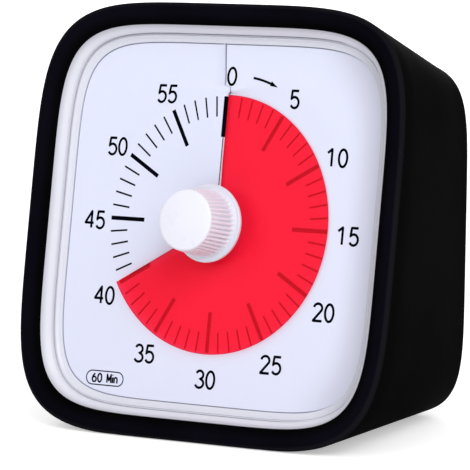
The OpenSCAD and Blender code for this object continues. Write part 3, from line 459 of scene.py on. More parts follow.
# %% [markdown]
# ## The silicone cover
#
# The cover is one moulding of matt black silicone, 2 mm thick, pulled over
# the case like a phone bumper. Silicone is soft, so no edge of it is sharp:
# the front band has a small round where it turns into the sides, its inner
# lip is broken, and the rear edge is a fat 2.5 mm round. Two nested blocks with
# a Bevel could make it, but its outline changes all the way from front to rear,
# so it is one closed loop of rings: outside, over the band, and back inside.
# Where the bowed bottom meets the table it is flat.
#
# Its colour is almost nothing, so its surface has to speak: a fine grain
# breaks the light up, the roughness drifts where it was handled, and a few
# specks of lint sit on it, as they always do on silicone.

# %% Silicone
silicone = Finish("black_silicone", (0.002, 0.002, 0.003), 0.55, specular_ior_level=0.004)
grain = silicone.noise(5200, 3)
handled = silicone.noise(38, 3).between(0.35, 0.7)
lint_spots = silicone.cells(520).under(0.045) * silicone.noise(90, 1).over(0.56)
cover_x, cover_y, cover_up = silicone.axes(silicone.turned(dial))
at_face = cover_up.between(4.1, 4.8)
# Painted highlight: a lighter line along the outer round of the face band.
painted_edge_highlight = (silicone.half_width(cover_x, cover_y, front_shape).between(44.2, 44.8)
               * cover_up.between(3.7, 4.5))
# Painted sheen: the face band is lighter and bluer than the sides.
on_sides = silicone.mix(handled, (0.0009, 0.0009, 0.001), (0.0016, 0.0016, 0.0018))
band_painted_sheen = silicone.mix(handled, (0.0024, 0.0021, 0.0044), (0.0036, 0.0032, 0.0062))
silicone.set({"Base Color": silicone.mix(lint_spots * 0.5 + painted_edge_highlight * 0.16,
                                         silicone.mix(at_face, on_sides, band_painted_sheen),
                                         (0.03, 0.03, 0.032)),
              "Roughness": 0.5 + 0.12 * handled + 0.06 * grain})
silicone.bump(grain, 0.012, 0.5)
print("silicone mixed")

# %% Silicone cover
cover_t, lip_in, under_band_z = 2.0, 4.5, 3.0
cover = wrap(
    rounded(4.0, 2.0, 0.5, 180, 90, 4, back_ring)
    + rounded(2.5, 0, 2.5, 90, 0, 9, back_ring)
    + [flank(0, share=s / 6) for s in (5, 4, 3, 2, 1)]
    + rounded(0.8, front_z, 0.8, 0, 90, 7)
    + [front(1.3, 5.02), front(2.3, 4.74), front(3.3, 4.42)]
    + [front(4.1, 4.19), front(4.35, 4.09), front(4.47, 3.97), front(lip_in, 3.85),
       front(lip_in, under_band_z), front(cover_t, under_band_z),
       back_ring(cover_t, 1.0), back_ring(lip_in, 1.0)], loop=True)
cover = put(cover, "cover", dial, "case", silicone, 50, "silicone_cover")
for point in cover.data.vertices:
    point.co.z = max(point.co.z, 0)
print("cover stands on", sum(v.co.z == 0 for v in cover.data.vertices), "points")

# %% [markdown]
# ## The front shell
#
# The white shell is moulded ABS. Only its rim shows: a broken edge against
# the cover, a slope towards the dial, and a wall that drops to the ring that
# clamps the dial. Behind the dial it has a wall with a hole for the
# movement's snout, four corner posts for the long screws and four pillars
# that the movement hangs on. The shell follows the cover's outline, so it is
# swept in the same way, the hole is carved with a round bar, and the posts are
# joined on.

# %% White ABS
abs_white = Finish("white_abs", (0.69, 0.7, 0.76), 0.38, specular_ior_level=0.45)
spark = abs_white.noise(3800, 2)
shell_x, shell_y, shell_up = abs_white.axes(abs_white.turned(dial))
# Painted shade: the rim is darker just under the cover's lip, and the wall down to the ring is darker,
# except at the bottom and on the right.
foot_shade = (shell_up.between(2.0, 1.3) * shell_up.between(-3, -1)
           * shell_y.between(-37, -20) * shell_x.between(34, 20))
painted_shade = shell_up.between(2.7, 3.85) + 0.3 * foot_shade
moulded = abs_white.mix(abs_white.noise(60, 2), (0.68, 0.685, 0.75), (0.705, 0.71, 0.77))
# Painted shade: the rim's slope is darker on the right side.
slope = shell_x.between(28, 37) * shell_up.between(3.5, 2.9)
moulded = abs_white.mix(slope, moulded, (0.53, 0.535, 0.59))
abs_white.set({"Roughness": 0.32 + 0.14 * spark,
               "Base Color": abs_white.mix(painted_shade, moulded, (0.48, 0.48, 0.54))})
abs_white.bump(spark, 0.006, 0.35)
print("ABS mixed")

# %% Front shell
post_places = [(x, y) for x in (-27, 27) for y in (28.3, -25.2)]
lug_places = [(x, y) for x in (-29, 29) for y in (20, -9)]
bulkhead_z, seam_z, lug_z = -4.8, -20, -9.8
shell = wrap([
    flank(4.1, bulkhead_z), flank(4.1, seam_z + 1.3), flank(3.1, seam_z + 1.3), flank(3.1, seam_z),
    flank(2.1, seam_z), flank(2.1, 2.9), front(4.55, 2.9), front(4.55, 3.66), front(4.58, 3.73),
    front(4.66, 3.76), front(4.76, 3.7), front(5.32, 3.0), front(5.95, 2.18), front(6.02, 2.08),
    front(6.05, 1.98), front(6.05, 0.4), front(6.13, 0.4), front(6.13, 0.92), front(6.17, 0.98),
    front(6.3, 1.02), front(6.41, 1.05), front(6.43, 1.0), front(6.43, -0.25), front(8.5, -0.25),
    front(8.5, -3.0)])
shell = carve(shell, post(0, 0, -6, 4.0, 4))
shell = joined(shell, *[post(x, y, seam_z, 3.3, 15.1) for x, y in post_places],
               *[post(x, y, lug_z, 3.0, 4.9) for x, y in lug_places])
put(shell, "front_shell", dial, "case", abs_white, 32, "front_case")

# %% [markdown]
# ## The ring round the dial
#
# A separate ring, a shade glossier than the shell, holds the dial plate down.
# It stands lower than the rim, so a band of shade parts the two, deepened by
# painted shade on the shell's wall, and its foot is undercut, which with the
# painted shade in the plate's groove draws the fine dark line round the dial.
# Its right side is painted darker, as shade. A curve with a bevel could draw
# it, but its outline changes as it goes in, so it is swept too.

# %% Ring
gloss_white = Finish("gloss_white", (0.66, 0.67, 0.75), 0.25, specular_ior_level=0.5)
ripple = gloss_white.noise(420, 2)
ring_x = gloss_white.axes(gloss_white.turned(dial))[0]
moulded = gloss_white.mix(ripple, (0.65, 0.66, 0.74), (0.675, 0.685, 0.765))
# Painted shade: the ring is darker on its right side.
right_side_shade = ring_x.between(26, 36.5)
gloss_white.set({"Roughness": 0.2 + 0.1 * ripple,
                 "Base Color": gloss_white.mix(right_side_shade, moulded, (0.5, 0.505, 0.57))})
gloss_white.bump(ripple, 0.01, 0.2)
ring = wrap([front(6.45, 0.25), front(6.45, 1.0), front(6.47, 1.06), front(6.52, 1.1),
             front(6.6, 1.08), front(6.85, 0.84), front(7.05, 0.65), front(7.16, 0.59),
             front(7.3, 0.57), front(7.75, 0.5), front(7.83, 0.46), front(7.85, 0.41),
             front(7.85, 0.36), front(7.6, 0.31), front(7.6, 0.25)], loop=True)
put(ring, "dial_ring", dial, "case", gloss_white, 40, "bezel_ring")

# %% [markdown]
# ## The dial plate
#
# The plate is a thin sheet with a slit at twelve. Right of the slit the sheet
# is bent down, left of it up, so that the film slides over one lip and under
# the other. The lower lip reaches a little way under the raised one, so that no
# dark gap shows through the film. Outside the film the bend dies away towards
# the ring, and the slit steps to the left and closes to a seam, where the left
# edge curls up a little. A fine groove is scored round the sheet along the foot
# of the ring. The plate could be a disc that is cut and bent, but a sweep keeps
# its sheet even. It runs the other way round from the case: each ring of the
# sweep is a section through the sheet, and the sections run clockwise from one
# lip to the other.

# %% Heights on the plate
plate_t, hole_r, film_r, film_pitch, film_t = 0.5, 5.5, 26.8, 2.4, 0.2
lip_step = plate_t / 2 + film_t / 2 + 0.2
ramp = 2 * math.pi * lip_step / film_pitch
slit_w, seam_w, seam_step, seam_drift = 0.5, 0.28, 1.3, 0.7
tuck, edge_in, nick = 0.8, 6.45, 0.06
closed_r, step_r, curl_h, curl_w = 27.0, 28.4, 0.3, 3.5
hair = 1e-6


def plate_edge(a, inset=edge_in):
    """Distance from the centre to the plate's edge, a radians clockwise from twelve."""
    n = shape_in(inset)
    return (body_w / 2 - inset) / (abs(math.sin(a)) ** n + abs(math.cos(a)) ** n) ** (1 / n)


def lift(a, r):
    """Height of the middle of the sheet."""
    a %= 2 * math.pi
    rise = (-lip_step * (1 - a / ramp) if a < ramp
            else lip_step * (1 - (2 * math.pi - a) / ramp) if a > 2 * math.pi - ramp else 0)
    curl = curl_h * max(0, 1 - (2 * math.pi - a) * r / curl_w) ** 2 * smooth(r - step_r)
    fade = 0.7 + 5.5 * smooth(min(a, 2 * math.pi - a) / 0.45)
    return rise * (1 - smooth((r - closed_r - 0.05) / fade)) + curl


def aside(a, r):
    """How far the sheet is drawn to the left at a point, to make room for the seam's step."""
    near = max(0.0, 1 - abs(math.remainder(a, 2 * math.pi)) / math.radians(12))
    step = seam_step * smooth((r - step_r) / 0.4)
    drift = seam_drift * smooth((r - step_r - 0.4) / 9.5)
    return (step + drift) * near


def on_plate(x, y):
    """Height of the plate's face at a point; near the seam the angle is found by steps."""
    a, r = math.atan2(x, y), math.hypot(x, y)
    if y > 0 and abs(a) < 0.3:
        left_of_seam = x + aside(0, r) < 0
        for _ in range(8):
            a = math.asin((x + aside(a, r)) / r)
        a = min(a, -hair) if left_of_seam else max(a, hair)
    return lift(a, r) + plate_t / 2


print("lips stand", round(2 * lip_step, 2), "mm apart")

# %% Dial plate
def plate_section(j, count):
    """A section through the sheet, from the hole to the edge and back beneath."""
    a = 2 * math.pi * j / count
    edge = plate_edge(a)
    at_slit = j in (0, count)
    line = [plate_edge(a, inset) for inset in (8.06, 8.06, 7.86, 7.86)]
    bend_end = 29.4
    stations = [hole_r, hole_r + 0.1] + [8 + 4 * i for i in range(5)]
    stations += [closed_r, 27.15, 27.3, 27.6, 27.9, 28.2, step_r, 28.6, 28.8, bend_end]
    stations += [bend_end + (line[0] - bend_end) * t
                 for t in (0.08, 0.16, 0.24, 0.32, 0.4, 0.5, 0.65, 0.8)]
    stations += line + [edge - nick, edge]
    points = []
    for r in stations:
        closing = smooth((r - closed_r) / 0.3)
        gap = (slit_w + (seam_w - slit_w) * closing) / 2 if at_slit else 0
        shift = gap - tuck * (1 - closing) if j == 0 else -gap
        points.append((r * math.sin(a) + shift - aside(a, r), r * math.cos(a),
                       lift(a - (hair if j == count else 0), r)))
    groove = -0.3 * (1 - smooth((line[0] * math.sin(a) - 24) / 9))
    break_edge = [-nick] + [0] * (len(points) - 6) + [groove, groove, 0, 0, -nick]
    top = [(x, y, z + plate_t / 2 + d) for (x, y, z), d in zip(points, break_edge)]
    return top + [(x, y, z - plate_t / 2) for x, y, z in reversed(points)]


dial_white = Finish("dial_sheet", (0.71, 0.74, 0.9), 0.42, specular_ior_level=0.4)
plate_x, plate_y, plate_up = dial_white.axes(dial_white.turned(dial))
plate_half = dial_white.half_width(plate_x, plate_y, 5)
# Painted shade: the bottom of the groove round the sheet is dark, except on the right.
groove_shade = plate_up.between(0.2, 0.05) * plate_half.over(34) * plate_x.between(33, 24)
# Painted shade: the sheet darkens towards its right edge, beside the rim.
right_margin_shade = plate_half.between(29.5, 38.2) * plate_x.between(20, 35)
tooth = dial_white.noise(2600, 3)
pale = dial_white.mix(dial_white.noise(26, 2), (0.705, 0.732, 0.89), (0.725, 0.75, 0.905))
pale = dial_white.mix(right_margin_shade, pale, (0.55, 0.555, 0.665))
dial_white.set({"Base Color": dial_white.mix(groove_shade, pale, (0.42, 0.42, 0.5)),
                "Roughness": 0.38 + 0.1 * tooth})
dial_white.bump(tooth, 0.004, 0.3)
plate = wrap_sheet(plate_section)
put(plate, "dial_sheet", dial, "case", dial_white, 30, "dial_plate")

# %% [markdown]
# ## The red film
#
# The film is one turn of a screw surface, as thin as a folder's cover. It is
# coloured right through, its cut edges are painted darker as shade, it has a
# faint red glow as painted light, and the ticks of the scale show under it as
# darker red. A plain Alpha would let the white dial wash it out to pink, so
# what passes is tinted: a Mix Shader puts a red Transparent shader beside the
# film's own red. A look through the film crosses both its faces and is tinted
# twice, so each face has half of the depth of colour. Light on its way to the
# dial passes clear, because the real film scatters it on.

# %% Film
minutes, own_share = 40, 0.3
set_angle = math.radians(6 * minutes)
film_red = Finish("red_film", (1.0, 0.004, 0.027), 0.3, specular_ior_level=0.22)
wave = film_red.noise(70, 2)
film_x, film_y = film_red.axes(film_red.turned(dial))[:2]
film_out = (film_x * film_x + film_y * film_y) ** 0.5
set_x, set_y = math.sin(set_angle), math.cos(set_angle)
along_edge = film_x * set_x + film_y * set_y
from_edge = film_x * -set_y + film_y * set_x
# Painted shade: the film is darker along its round edge and along part of its straight edge.
round_edge_shade = film_out.between(film_r - 0.2, film_r - 0.1)
straight_edge_shade = (from_edge.size().under(0.3) * along_edge.between(9, 12)
                * (1 - along_edge.between(21, 25)))
cut = (round_edge_shade + straight_edge_shade).between(0, 1)
own_red = film_red.mix(wave, (0.91, 0.003, 0.025), (0.94, 0.0045, 0.029))
# Painted light: the film glows faintly red, though it is no lamp.
film_red.set({"Emission Color": (1.0, 0.02, 0.05, 1), "Emission Strength": 0.14,
              "Roughness": 0.24 + 0.12 * wave,
              "Base Color": film_red.mix(cut, own_red, (0.36, 0.003, 0.015))})
through = film_red.node("ShaderNodeBsdfTransparent", None, {"Color": (1, 0.275, 0.4, 1)})
clear = film_red.node("ShaderNodeBsdfTransparent")
shadow = film_red.node("ShaderNodeLightPath", out="Is Shadow Ray")
tinted = film_red.node("ShaderNodeMixShader", None,
                       {0: own_share, 1: through, 2: Wire(film_red, film_red.shader.outputs[0])})
film_red.plug(film_red.tree.nodes["Material Output"].inputs["Surface"],
              film_red.node("ShaderNodeMixShader", None, {0: shadow, 1: tinted, 2: clear}))


def film_section(j, count):
    """A section through the film, from the hub to its edge and back beneath."""
    a = set_angle - 2 * math.pi * j / count
    z = film_pitch * a / (2 * math.pi)
    radii = [5.01, 12, 19, 25.5, film_r - 0.04, film_r]
    drop = [0, 0, 0, 0, 0, 0.04]
    return ([(r * math.sin(a), r * math.cos(a), z + film_t / 2 - d) for r, d in zip(radii, drop)]
            + [(r * math.sin(a), r * math.cos(a), z - film_t / 2 + d)
               for r, d in zip(reversed(radii), reversed(drop))])


film = wrap_sheet(film_section)
put(film, "film", dial, "disc", film_red, 30, "red_disc")

# %% [markdown]
# ## The printed scale
#
# The scale is one pass of black ink: a fine tick for every minute, a long
# heavy one for every fifth, and the one at zero along the raised lip, whose
# end face is inked too. One tick is modelled and copied round, and each copy
# lies on the plate where it is bent.

# %% Ink
ink = Finish("black_ink", (0.0008, 0.001, 0.004), 0.5, specular_ior_level=0.01)
thin_spots = ink.noise(900, 3).between(0.3, 0.8)
ink.set({"Base Color": ink.mix(thin_spots, (0.0004, 0.0005, 0.002), (0.0015, 0.002, 0.007)),
         "Roughness": 0.45 + 0.12 * ink.noise(1400, 2)})
ink_t, long_tick, short_tick = 0.02, (8.4, 0.86), (4.2, 0.37)


def lay_on_plate(piece):
    """Lifts a flat print onto the bent plate."""
    for point in piece.data.vertices:
        point.co.z += on_plate(point.co.x, point.co.y) + ink_t
    return piece


tick_r = film_r - 0.35


def tick(long):
    """A tick that points up and ends just inside the film's edge."""
    length, width = long_tick if long else short_tick
    return block((0, tick_r - length / 2, 0), (width, length, ink_t))


onto_lip = Matrix.Translation((-0.53, 0, 0)) @ Matrix.Diagonal((0.84, 1, 1, 1))
masters = {True: tick(True), False: tick(False)}
ticks = []
for minute in range(60):
    master = masters[minute % 5 == 0]
    copy = master.copy()
    copy.data = master.data.copy()
    bpy.context.collection.objects.link(copy)
    shift = onto_lip if minute == 0 else Matrix()
    outward = 0.45 * max(0.0, -math.sin(math.radians(6 * minute)))
    copy.data.transform(shift @ Matrix.Rotation(math.radians(-6 * minute), 4, "Z")
                        @ Matrix.Translation((0, outward, 0)))
    ticks.append(copy)
for master in masters.values():
    bpy.data.objects.remove(master)
scale = lay_on_plate(joined(*ticks))
lip_ink = block((-0.24, tick_r - long_tick[0] / 2, lip_step), (ink_t, long_tick[0], plate_t))
# Painted shadow: a thin black strip along the raised lip's edge, from the zero tick in towards the
# hub.
lip_shadow_line = block((-0.35, 11.9, 0), (0.2, 12.4, ink_t))
scale = joined(scale, lip_ink, lay_on_plate(lip_shadow_line))
put(scale, "minute_scale", dial, "case", ink, 30)

# %% [markdown]
# ## Numbers, arrow and mark
#
# The numbers are narrow and drawn with one even stroke, like lettering from a
# stencil. Each figure is a curve with a round section, which is made a mesh
# and pressed flat. The figures below use a box 1 high, and arcs are given by
# centre, radii and angles, so their shapes stay readable.

# %% Strokes
def arc(cx, cy, rx, ry, start, stop, count=14):
    """Points along an arc, with its angles in degrees."""
    return [(cx + rx * math.cos(math.radians(start + (stop - start) * i / (count - 1))),
             cy + ry * math.sin(math.radians(start + (stop - start) * i / (count - 1))))
            for i in range(count)]


figures = {
    "0": [arc(0.25, 0.5, 0.25, 0.5, 90, 450, 33)],
    "1": [[(0.0, 0.77), (0.27, 1.0), (0.27, 0.0)]],
    "2": [arc(0.26, 0.74, 0.25, 0.26, 170, -25) + [(0.0, 0.0), (0.54, 0.0)]],
    "3": [arc(0.24, 0.76, 0.22, 0.24, 160, -90) + arc(0.24, 0.26, 0.26, 0.26, 90, -160)],
    "4": [[(0.4, 0.0), (0.4, 1.0), (0.0, 0.3), (0.54, 0.3)]],
    "5": [[(0.5, 1.0), (0.1, 1.0), (0.05, 0.5)] + arc(0.25, 0.32, 0.26, 0.32, 125, -150)],
    "6": [arc(0.26, 0.3, 0.25, 0.3, 90, 450, 25), arc(0.62, 0.32, 0.61, 0.72, 180, 116, 8)],
    "M": [[(0.0, 0.0), (0.0, 1.0), (0.25, 0.25), (0.5, 1.0), (0.5, 0.0)]],
    "i": [[(0.0, 0.0), (0.0, 0.68)], [(0.0, 0.9), (0.0, 0.98)]],
    "n": [[(0.0, 0.0), (0.0, 0.68)], arc(0.19, 0.45, 0.19, 0.22, 180, 0, 9) + [(0.38, 0.0)]],
}
widths = {"0": 0.5, "1": 0.54, "2": 0.54, "3": 0.5, "4": 0.54, "5": 0.51, "6": 0.51,
          "M": 0.5, "i": 0.0, "n": 0.38}
space_w, corner = 0.3, 0.06


def held(stroke):
    """Adds a point close to both ends of each straight, so that a sharp corner keeps its width."""
    points = [stroke[0]]
    for (ax, ay), (bx, by) in zip(stroke, stroke[1:]):
        long = math.hypot(bx - ax, by - ay)
        if long > 0.6:
            points += [(ax + (bx - ax) * t, ay + (by - ay) * t)
                       for t in (corner / long, 1 - corner / long)]
        points.append((bx, by))
    return points


def pen(strokes, width):
    """Draws strokes with an even, flat line."""
    bpy.ops.object.select_all(action="DESELECT")
    drawn = bpy.data.curves.new("stroke", "CURVE")
    drawn.dimensions, drawn.use_fill_caps = "3D", True
    drawn.bevel_depth, drawn.bevel_resolution = width / 2, 2
    for stroke in strokes:
        line = drawn.splines.new("POLY")
        closed = math.dist(stroke[0], stroke[-1]) < 1e-6
        points = held(stroke)[:-1] if closed else held(stroke)
        line.points.add(len(points) - 1)
        line.use_cyclic_u = closed
        for spot, (x, y) in zip(line.points, points):
            spot.co = (x, y, 0, 1)
    piece = bpy.data.objects.new("stroke", drawn)
    bpy.context.collection.objects.link(piece)
    only(piece)
    bpy.ops.object.convert(target="MESH")
    piece.data.transform(Matrix.Scale(ink_t / width, 4, (0, 0, 1)))
    return piece


def lettering(text, x, y, height, stroke, gap, wide=1.0):
    """Writes text with its middle at x, y."""
    total = sum(widths.get(c, space_w) for c in text) + gap * (len(text) - 1)
    at, strokes = -total / 2, []
    for letter in text:
        for line in figures.get(letter, []):
            strokes.append([(x + (at + px) * height * wide, y + (py - 0.5) * height)
                            for px, py in line])
        at += widths.get(letter, space_w) + gap
    return pen(strokes, stroke)


print(len(figures), "figures drawn")

# %% Numbers round the dial
number_r, number_h, number_stroke, number_gap, number_wide = 31.3, 3.5, 0.55, 0.17, 1.12
numbers_x, numbers_y = 0.2, -0.65
numbers = []
for minute in range(0, 60, 5):
    a = math.radians(6 * minute)
    numbers.append(lettering(str(minute), number_r * math.sin(a) + numbers_x,
                             number_r * math.cos(a) + numbers_y,
                             number_h, number_stroke, number_gap, number_wide))
numbers = lay_on_plate(joined(*numbers))
put(numbers, "numbers", dial, "case", ink, 40)

# %% Arrow and mark
tail, tip = Vector((5.5, 30.5)), Vector((11.5, 28.75))
along = (tip - tail).normalized()
across = Vector((-along.y, along.x))
bow = [tail.lerp(tip, t) + across * 0.9 * t * (1 - t) for t in (0, 0.2, 0.4, 0.6, 0.8)]
shaft = pen([[tuple(p) for p in bow]], 0.5)
bpy.ops.mesh.primitive_cylinder_add(vertices=3, radius=1, depth=ink_t)
head = bpy.context.object
aim = math.atan2(tip.y - bow[-1].y, tip.x - bow[-1].x) - math.pi / 2
head.data.transform(Matrix.Translation((tip.x, tip.y, 0)) @ Matrix.Rotation(aim, 4, "Z")
                    @ Matrix.Diagonal((0.6, 1.25, 1, 1)) @ Matrix.Translation((0, -1, 0)))
arrow = lay_on_plate(joined(shaft, head))
put(arrow, "arrow", dial, "case", ink, 40)

pill_x, pill_y, pill_w, pill_h = -24.9, -33.6, 9.4, 2.9
end = pill_h / 2
pill = (arc(pill_w / 2 - end, 0, end, end, -90, 90, 11)
        + arc(end - pill_w / 2, 0, end, end, 90, 270, 11))
pill = [(pill_x + x, pill_y + y) for x, y in pill]
mark = joined(pen([pill + pill[:1]], 0.24),
              lettering("60 Min", pill_x, pill_y, 1.75, 0.38, 0.22, 1.1))
put(lay_on_plate(mark), "minutes_mark", dial, "case", ink, 40)

# %% [markdown]
# ## The knob
#
# The knob is glossy white. Its flange is thin with a soft edge, a concave
# curve leads up to the grip, and forty-four flutes run up the grip and fade
# out just under the smooth cap. Forty-four boolean cuts would leave ragged
# ends, so it is swept from rings again, and each ring is pulled in between its
# ribs: deep at the foot and not at all at the cap. A round stem with two keys
# goes down through the dial, and the disc's hub climbs on it.

# %% Knob
flutes, around = 44, 352
flange_z, cap_z, cap_r, dome_h = 3.55, 13.05, 5.95, 0.35
foot_r, foot_z, shoulder_r, shoulder_z = 7.02, 5.15, 6.4, 12.0
flute_depth = 0.58


def knob_ring(radius, z, depth=0.0):
    """A ring of the knob, pulled in between its ribs by depth."""
    points = []
    for i in range(around):
        a = 2 * math.pi * i / around
        groove = (0.5 - 0.5 * math.cos(flutes * a)) ** 2.2
        r = radius - depth * groove
        points.append((r * math.cos(a), r * math.sin(a), z))
    return points


def grip(z):
    """Radius of the grip at a height."""
    return foot_r + (shoulder_r - foot_r) * (z - foot_z) / (shoulder_z - foot_z)


def flute(z):
    """Depth of the flutes at a height: less towards the cap, and none at both ends."""
    ends = smooth((z - 5.0) / 0.5) * smooth((12.4 - z) / 0.5)
    return flute_depth * (1 - smooth((z - 7.8) / 4.6) * 0.5) * ends


dome = (cap_r ** 2 + dome_h ** 2) / (2 * dome_h)
profile = [(2.55, 0), (6.9, 0), (7.8, 0), (8.0, 0.12), (8.1, 0.35), (8.1, 0.75), (8.05, 0.93),
           (7.92, 1.03), (7.8, 1.05), (7.6, 1.02), (7.4, 1.05), (7.22, 1.2), (7.1, 1.4)]
rings = [knob_ring(r, flange_z + z) for r, z in profile]
rings += [knob_ring(grip(z), z, flute(z)) for z in [foot_z + 0.345 * i for i in range(21)]]
rings += [knob_ring(r, z) for r, z in ((6.33, 12.25), (6.25, 12.45), (6.12, 12.62), (cap_r, 12.7))]
rings += [knob_ring(r, cap_z - dome + math.sqrt(dome ** 2 - r ** 2))
          for r in (5.5, 4.5, 3.2, 1.8, 0.5)]
stem = post(0, 0, -2.8, 2.5, 6.1, 64)
keys = block((0, 0, 0.2), (6.2, 0.9, 6.0))
knob_piece = joined(wrap(rings), stem, keys)
knob_white = Finish("knob_plastic", (0.8, 0.8, 0.9), 0.28, specular_ior_level=0.5)
swirl = knob_white.noise(300, 2)
knob_x, knob_y, knob_up = knob_white.axes(knob_white.turned(dial))
knob_out = (knob_x * knob_x + knob_y * knob_y) ** 0.5
grip_side = knob_up.between(4.9, 5.3) * knob_up.between(12.7, 12.2)
in_flute = (grip(knob_up) - knob_out).between(0.02, 0.26) * grip_side
# Painted shade: the grooves between the flutes and the flange under the grip are darker.
flute_shade = 0.05 * in_flute + 0.27 * knob_up.between(5.3, 4.7)
shiny = knob_white.mix(swirl, (0.79, 0.79, 0.89), (0.815, 0.815, 0.91))
# Painted light: the grip's side is tinted away from red, against the red light that the film throws on
# it.
shiny = knob_white.mix(grip_side, shiny, (0.765, 0.805, 0.895))
knob_white.set({"Roughness": 0.24 + 0.1 * swirl,
                "Base Color": knob_white.mix(flute_shade, shiny, (0.4, 0.42, 0.52))})
knob_white.bump(knob_white.noise(2400, 2), 0.003, 0.25)
put(knob_piece, "turning_knob", dial, "knob_set", knob_white, 38, "knob")

# %% [markdown]
# ## What the solids keep
#
# The rear shell, the door, the switch and everything inside already have the
# right shapes, so they only get finishes.

# %% Spark-eroded ABS for the back
abs_back = Finish("textured_abs", (0.68, 0.69, 0.74), 0.5, specular_ior_level=0.35)
pits = abs_back.noise(2600, 4, 0.6)
back_up = abs_back.axes(abs_back.turned(rear))[2]
rubbed = abs_back.noise(45, 3).between(0.52, 0.8)
worn_edge = back_up.between(-2.44, -2.2) * back_up.between(-1.2, -2.0)
eroded = abs_back.mix(abs_back.noise(70, 3), (0.66, 0.67, 0.72), (0.71, 0.72, 0.77))
abs_back.set({"Roughness": 0.46 + 0.16 * pits - 0.12 * rubbed,
              "Base Color": abs_back.mix(worn_edge * 0.5, eroded, (0.52, 0.52, 0.57))})
abs_back.bump(pits, 0.03, 0.6)
dress(abs_back, "rear_cover", "battery_door")
print("back shell and door dressed")

# %% [markdown]
# ## Moulded marks on the back
#
# The back says how it is used without a word: an arrowhead on the door shows
# which way it opens, and a bar and a ring under the switch say on and off.
# The mould maker cuts such marks into the tool, so they stand about 0.3 mm
# proud with soft edges. Each starts as a primitive and gets its edges broken with
# the bevel operator.

# %% Marks
back_face, mark_t = -2.5, 0.5


def raised(piece):
    """Breaks the edges of a small mark and sets it on the back's face."""
    edit(piece, lambda: bpy.ops.mesh.bevel(offset=0.07, segments=2, affect="EDGES"))
    piece.data.transform(Matrix.Translation((0, 0, back_face)))
    return piece


def flat_bar(x, y, width, height):
    """A bar that lies on the back."""
    return raised(block((x, y, -0.1), (width, height, mark_t)))


bpy.ops.mesh.primitive_cylinder_add(vertices=3, radius=2.1, depth=mark_t,
                                    location=(0, -16.6, -0.1), rotation=(0, 0, math.pi))
bpy.ops.object.transform_apply(location=True, rotation=True)
arrowhead = raised(bpy.context.object)
arrowhead = joined(arrowhead, flat_bar(0, -14.1, 3.6, 0.6))
put(arrowhead, "door_arrow", rear, "door", abs_back, 30)

marks_y = 9.6
on_bar = flat_bar(15.4, marks_y, 0.55, 2.2)
bpy.ops.mesh.primitive_torus_add(location=(18.6, marks_y, back_face - 0.05), major_radius=0.9,
                                 minor_radius=0.26, major_segments=40, minor_segments=10)
bpy.ops.object.transform_apply(location=True)
put(joined(on_bar, bpy.context.object), "switch_marks", rear, "case", abs_back, 30)

# %% [markdown]
# ## Finishes for the remaining solids
#
# Screw heads and the switch show at the back, the cell shows when its door is
# open, and the rest is only seen on the bench. Each solid still looks like what
# it is cut, moulded or wound from. Most finishes are one recipe: a colour that
# drifts a little, a roughness that varies, and a fine bump from tool or mould.

# %% Metals and moulded parts
hub_red = Finish("moulded_red", (0.6, 0.02, 0.05), 0.4)
hub_red.bump(hub_red.noise(2500, 2), 0.005, 0.4)
hub_red.set({"Roughness": 0.32 + 0.16 * hub_red.noise(500, 2)})
dress(hub_red, "disc_hub")

brass = Finish("turned_brass", (0.8, 0.6, 0.28), 0.3, metallic=1.0)
lathe = brass.noise(6000, 1)
brass.set({"Roughness": 0.2 + 0.2 * lathe,
           "Base Color": brass.mix(brass.noise(300, 3), (0.74, 0.53, 0.23), (0.84, 0.65, 0.33))})
brass.bump(lathe, 0.004, 0.3)
dress(brass, "knob_arbor", "clutch_spring", "alarm_leaf")

steel = Finish("zinc_steel", (0.6, 0.61, 0.63), 0.35, metallic=1.0)
spangle = steel.noise(1500, 3)
steel.set({"Roughness": 0.26 + 0.22 * spangle,
           "Base Color": steel.mix(spangle, (0.55, 0.56, 0.58), (0.68, 0.69, 0.71))})
steel.bump(steel.noise(4000, 2), 0.004, 0.4)
dress(steel, "case_screws", "lid_screws", "movement_screws", "stator", "quartz_crystal",
      "switch_body")

nickel = Finish("nickel_strip", (0.72, 0.7, 0.66), 0.22, metallic=1.0)
nickel.set({"Roughness": 0.14 + 0.18 * nickel.noise(900, 3)})
nickel.bump(nickel.noise(3000, 2), 0.003, 0.3)
dress(nickel, "positive_contact", "negative_spring")

acetal = Finish("white_acetal", (0.8, 0.78, 0.68), 0.42, specular_ior_level=0.45)
waxy = acetal.noise(700, 2)
acetal.set({"Roughness": 0.34 + 0.14 * waxy,
            "Base Color": acetal.mix(waxy, (0.76, 0.74, 0.64), (0.84, 0.82, 0.72))})
acetal.bump(acetal.noise(3500, 2), 0.003, 0.3)
dress(acetal, "alarm_cam", "minute_wheel", "third_wheel", "seconds_wheel", "fifth_wheel",
      "rotor_pinion")

frosted = Finish("movement_plastic", (0.72, 0.74, 0.77), 0.5)
frost = frosted.noise(3000, 2)
frosted.set({"Roughness": 0.42 + 0.16 * frost,
             "Base Color": frosted.mix(frosted.noise(80, 2), (0.7, 0.72, 0.75), (0.76, 0.78, 0.8))})
frosted.bump(frost, 0.006, 0.4)
dress(frosted, "movement_tray", "movement_lid")
print("plain finishes given")

# %% Magnet, coil and board
ferrite = Finish("ferrite", (0.045, 0.045, 0.05), 0.6)
ferrite.set({"Roughness": 0.5 + 0.2 * ferrite.noise(2500, 3)})
ferrite.bump(ferrite.noise(5000, 3), 0.008, 0.5)
dress(ferrite, "rotor_magnet")

bobbin_blue = Finish("bobbin_nylon", (0.05, 0.13, 0.42), 0.4)
bobbin_blue.set({"Roughness": 0.34 + 0.14 * bobbin_blue.noise(900, 2)})
bobbin_blue.bump(bobbin_blue.noise(2500, 2), 0.004, 0.3)
dress(bobbin_blue, "coil_bobbin")

